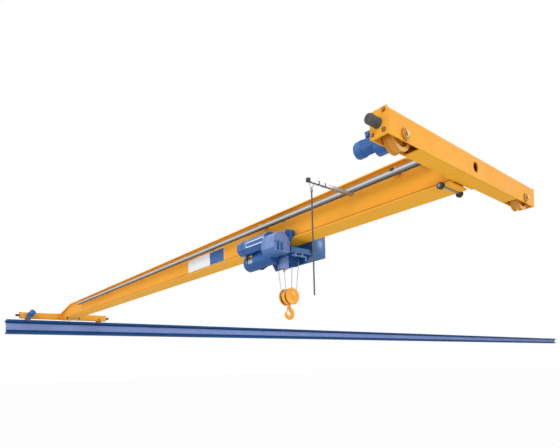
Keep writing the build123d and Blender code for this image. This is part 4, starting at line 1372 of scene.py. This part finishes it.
class CRANE_OT_ropes(Operator):
    """Lays the stranded rope on the drum, over the return sheave and down to the block"""

    bl_idname = "crane.ropes"
    bl_label = "Hoist rope"

    def execute(self, context):
        ropes = context.scene.crane_ropes
        block, drum = middle("block_body"), middle("rope_drum")
        sheave_low, sheave_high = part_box("return_sheave")
        anchor_low, anchor_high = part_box("rope_anchor")
        contact, spread = 0.0008, 0.06
        left, right = block.x - spread, block.x + spread
        sheave_y, sheave_z = sheave_low.y + 0.012, (sheave_low.z + sheave_high.z) / 2
        anchor_y = 2 * bridge_y - sheave_y
        falls = {
            "rope_from_drum": (-1, -1, (left, drum.y + rope_reach, drum.z)),
            "rope_to_return": (-1, 1, (left, sheave_y, sheave_z)),
            "rope_from_return": (1, 1, (right, sheave_y, sheave_z)),
            "rope_to_anchor": (1, -1, (right, anchor_y, anchor_low.z - contact)),
        }
        for name, (place, side, top) in falls.items():
            foot = block + Vector((place * block_sheave_reach, side * rope_reach, contact))
            bm = shell()
            self.laid(bm, foot, Vector(top), ropes)
            fall = piece(bm, name, None, "rope wire", merge=False)
            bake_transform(fall)
            if name == "rope_from_drum":
                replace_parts(fall, "rope_falls")

        bm = shell()
        for place in SIDES:
            self.half_turn(bm, block + place * block_sheave_reach * X, ropes)
        under_sheaves = piece(bm, "block_turns", "hook_block", "rope wire", merge=False)
        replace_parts(under_sheaves, "rope_wraps")
        self.drum_turns(drum, left)

        bm = shell()
        section = ring(bm, Vector((right, sheave_y, sheave_z)), Z, rope_radius, 12)
        swept(bm, section, Vector((block.x, sheave_y, sheave_z)), -Y, math.pi, 32)
        piece(bm, "return_turn", "trolley", "rope wire", merge=False)

        bm = shell()
        taper = ((0, 0), (0, 0.013), (0.02, 0.012), (0.034, 0.0075), (0.034, 0))
        lathe(bm, Vector((right, anchor_y, anchor_low.z)), -Z, taper, 28)
        piece(bm, "rope_socket", "trolley", "zinc")
        inset, bolt = 0.016, 0.014
        bm = shell()
        for x in (anchor_low.x + inset, anchor_high.x - inset):
            for z in (anchor_low.z + 0.09, anchor_low.z + 0.125):
                bolt_head(bm, (x, anchor_low.y, z), -Y, bolt)
        piece(bm, "anchor_bolts", "trolley", "gear case paint")
        return {"FINISHED"}

    def drum_turns(self, drum, last):
        """Rope in the drum's grooves, from the first one up to where the fall leaves."""
        gap, drum_flange, first_groove, groove_depth = 0.002, 0.012, 0.038, 0.0145
        reach = drum.z - low("rope_drum").z - groove_depth
        first = low("cross_frame_left").x + cross_frame_plate + gap + drum_flange + first_groove
        bm = shell()
        for number in range(int((last - first) / groove_pitch) + 1):
            place = (first + groove_pitch * number, drum.y, drum.z + reach)
            swept(bm, ring(bm, place, Y, rope_radius * 0.95, 8), drum, X, math.tau, 40)
        piece(bm, "drum_turns", "drum", "rope wire")

    def laid(self, bm, start, end, ropes):
        """Straight laid rope of strands round a core."""
        along = end - start
        side = along.orthogonal().normalized()
        strand = rope_radius / 3
        turns = along.length / ropes.lay
        for number in range(ropes.strands):
            outward = Matrix.Rotation(math.tau * number / ropes.strands, 3, along.normalized()) @ side
            section = ring(bm, start + outward * (rope_radius - strand), along, strand * 1.08, 6)
            swept(bm, section, start, along, math.tau * turns, max(12, round(turns * 11)), along.length)
        rod(bm, start, end, strand * 1.1, 6)

    def half_turn(self, bm, centre, ropes):
        """Laid rope under one of the block's sheaves."""
        strand = rope_radius / 3
        lays = math.pi * rope_reach / ropes.lay
        steps = round(lays * 11)
        for number in range(ropes.strands):
            places = []
            for step in range(steps + 1):
                outward = around(-180 * step / steps)
                twist = math.tau * (number / ropes.strands + lays * step / steps)
                off_centre = (outward * math.cos(twist) + X * math.sin(twist)) * (rope_radius - strand)
                axes = Matrix((X, outward, X.cross(outward))).transposed().to_4x4()
                places.append(Matrix.Translation(centre + outward * rope_reach + off_centre) @ axes)
            bridged(bm, places, 6, strand * 1.08)


class CRANE_OT_hook_block(Operator):
    """Presses the block's dished covers and collar, and forges the hook with its latch"""

    bl_idname = "crane.hook_block"
    bl_label = "Hook block"

    def execute(self, context):
        self.covers()
        body_low, body_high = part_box("block_body")
        half = (body_high.x - body_low.x) / 2
        bore, foot, top = 0.0145, 0.001, 0.03
        rim = ((foot, half * 0.86), (0.004, half * 0.98), (0.012, half * 1.08), (top, half * 1.15))
        centre = middle("block_cheeks")
        bm = shell()
        seat = Vector((centre.x, centre.y, body_low.z))
        lathe(bm, seat, Z, ((foot, bore), *rim, (top, bore), (foot, bore)), 40)
        piece(bm, "block_collar", "hook_block", "hook paint")
        self.hook()
        return {"FINISHED"}

    def covers(self):
        start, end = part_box("block_cheeks")
        centre = (start + end) / 2
        radius = (end.z - start.z) / 2
        inner = end.x - centre.x - 0.012
        rim_steps = ((0, 0.004), (0.0015, 0), (0.0075, 0), (0.0115, 0.003), (0.015, 0.015))
        dish_steps = ((0.0148, 0.018), (0.0108, 0.038), (0.0112, 0.052), (0.0155, 0.075))
        cover = ((0, 0), *((out, radius - inward) for out, inward in (*rim_steps, *dish_steps)), (0.016, 0))
        cap = ((-0.002, 0), (-0.002, 0.016), (0.002, 0.016), (0.0035, 0.0135), (0.0035, 0))
        bm, pins = shell(), shell()
        for side in SIDES:
            lathe(bm, centre + side * inner * X, side * X, cover, 72)
            lathe(pins, centre + side * (inner + 0.0155) * X, side * X, cap, 32)
        rod(bm, centre - inner * X, centre + inner * X, 0.0176, 32)
        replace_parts(piece(bm, "block_covers", "hook_block", "hook paint"), "block_cheeks")
        piece(pins, "block_pin_caps", "hook_block", "hook paint")

    def hook(self):
        """The hook from its tip round the bowl and up the neck, and its shank with the nut."""
        start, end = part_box("load_hook")
        x = (start.x + end.x) / 2
        depth = (end.x - start.x) / 2
        eye = Vector((x, bridge_y, start.z + 0.066))
        neck_top = low("block_body").z - 0.002
        neck = neck_top - eye.z
        stations = (
            *((-0.0530, 0.0180, 0.0105, 0.60), (-0.0530, 0.0090, 0.0160, 0.74)),
            *((-0.0500, -0.0060, 0.0205, 0.84), (-0.0415, -0.0220, 0.0240, 0.95)),
            *((-0.0260, -0.0370, 0.0270, 1.04), (-0.0050, -0.0435, 0.0285, 1.08)),
            *((0.0160, -0.0400, 0.0290, 1.08), (0.0330, -0.0270, 0.0290, 1.08)),
            *((0.0420, -0.0080, 0.0285, 1.06), (0.0410, 0.0130, 0.0300, 1.05)),
            *((0.0320, 0.0320, 0.0310, 1.03), (0.0195, 0.0480, 0.0300, 1.00)),
            *((0.0080, 0.0620, 0.0260, 0.95), (0.0010, 0.0760, 0.0210, 0.91)),
            *((0.0000, 0.0900, 0.0190, 0.90), (0, neck - 0.004, 0.0220, 1.05), (0, neck, 0.0220, 1.05)),
        )
        widen = 1.13
        places = [eye + Vector((0, widen * across, up)) for across, up, radius, share in stations]
        bm = shell()
        oval_bar(bm, places, [(depth * share, radius) for across, up, radius, share in stations])
        forged = piece(bm, "forged_hook", "hook", "hook paint", merge=False)
        rounding = forged.modifiers.new("rounding", "SUBSURF")
        rounding.levels = rounding.render_levels = 2
        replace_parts(forged, "load_hook")

        nut_foot, nut_height = middle("block_body").z - 0.05, 0.008
        bm = shell()
        rod(bm, (x, bridge_y, neck_top - 0.001), (x, bridge_y, nut_foot), 0.0126, 24)
        rod(bm, (x, bridge_y, nut_foot), (x, bridge_y, nut_foot + nut_height), 0.0168, 6)
        piece(bm, "hook_shank", "hook", "zinc")
        self.latch(eye, 0.82 * depth)

    def latch(self, eye, half):
        """Sprung sheet latch on a pin through the hook's neck, which closes the mouth at the tip."""
        pivot = eye + Vector((0, -0.009, 0.079))
        ear, pin_end, sheet_half = 0.0025, 0.005, 0.002
        bm = shell()
        rod(bm, pivot - (half + pin_end) * X, pivot + (half + pin_end) * X, 0.004, 20)
        for side in SIDES:
            rod(bm, pivot + side * half * X, pivot + side * (half + ear) * X, 0.0125, 32)
        tongue = (
            *((-0.0205, 0.0830, 0.0180), (-0.0232, 0.0690, 0.0165), (-0.0310, 0.0460, 0.0125)),
            *((-0.0395, 0.0260, 0.0105), (-0.0465, 0.0110, 0.0095)),
        )
        places = [eye + Vector((0, across, up)) for across, up, reach in tongue]
        oval_bar(bm, places, [(reach, sheet_half) for across, up, reach in tongue])
        piece(bm, "hook_latch", "hook", "hook paint", merge=False)


class CRANE_PT_panel(Panel):
    """Lists the crane's steps and settings in the sidebar"""

    bl_label = "Bridge crane"
    bl_space_type = "VIEW_3D"
    bl_region_type = "UI"
    bl_category = "Crane"

    def draw(self, context):
        for name in GROUPS:
            group = getattr(context.scene, name)
            for key in group.__annotations__:
                self.layout.prop(group, key)
        for operator in OPERATORS:
            self.layout.operator(operator.bl_idname)


GROUPS = {
    "crane_colours": CraneColours,
    "crane_fixings": CraneFixings,
    "crane_ropes": CraneRopes,
    "crane_studio": CraneStudio,
}
OPERATORS = (
    CRANE_OT_finishes,
    CRANE_OT_runway_fixings,
    CRANE_OT_girder_details,
    CRANE_OT_carriage_details,
    CRANE_OT_buffers,
    CRANE_OT_travel_drives,
    CRANE_OT_festoon,
    CRANE_OT_pendant,
    CRANE_OT_trolley_details,
    CRANE_OT_motor,
    CRANE_OT_gear_case,
    CRANE_OT_electrics,
    CRANE_OT_ropes,
    CRANE_OT_hook_block,
    CRANE_OT_stage,
)
CLASSES = (*GROUPS.values(), *OPERATORS, CRANE_PT_panel)


def register():
    for item in CLASSES:
        bpy.utils.register_class(item)
    for name, group in GROUPS.items():
        setattr(bpy.types.Scene, name, PointerProperty(type=group))


def unregister():
    for name in GROUPS:
        delattr(bpy.types.Scene, name)
    for item in reversed(CLASSES):
        bpy.utils.unregister_class(item)


def main():
    register()
    for operator in OPERATORS:
        group, name = operator.bl_idname.split(".")
        getattr(getattr(bpy.ops, group), name)()


if __name__ == "__main__":
    main()
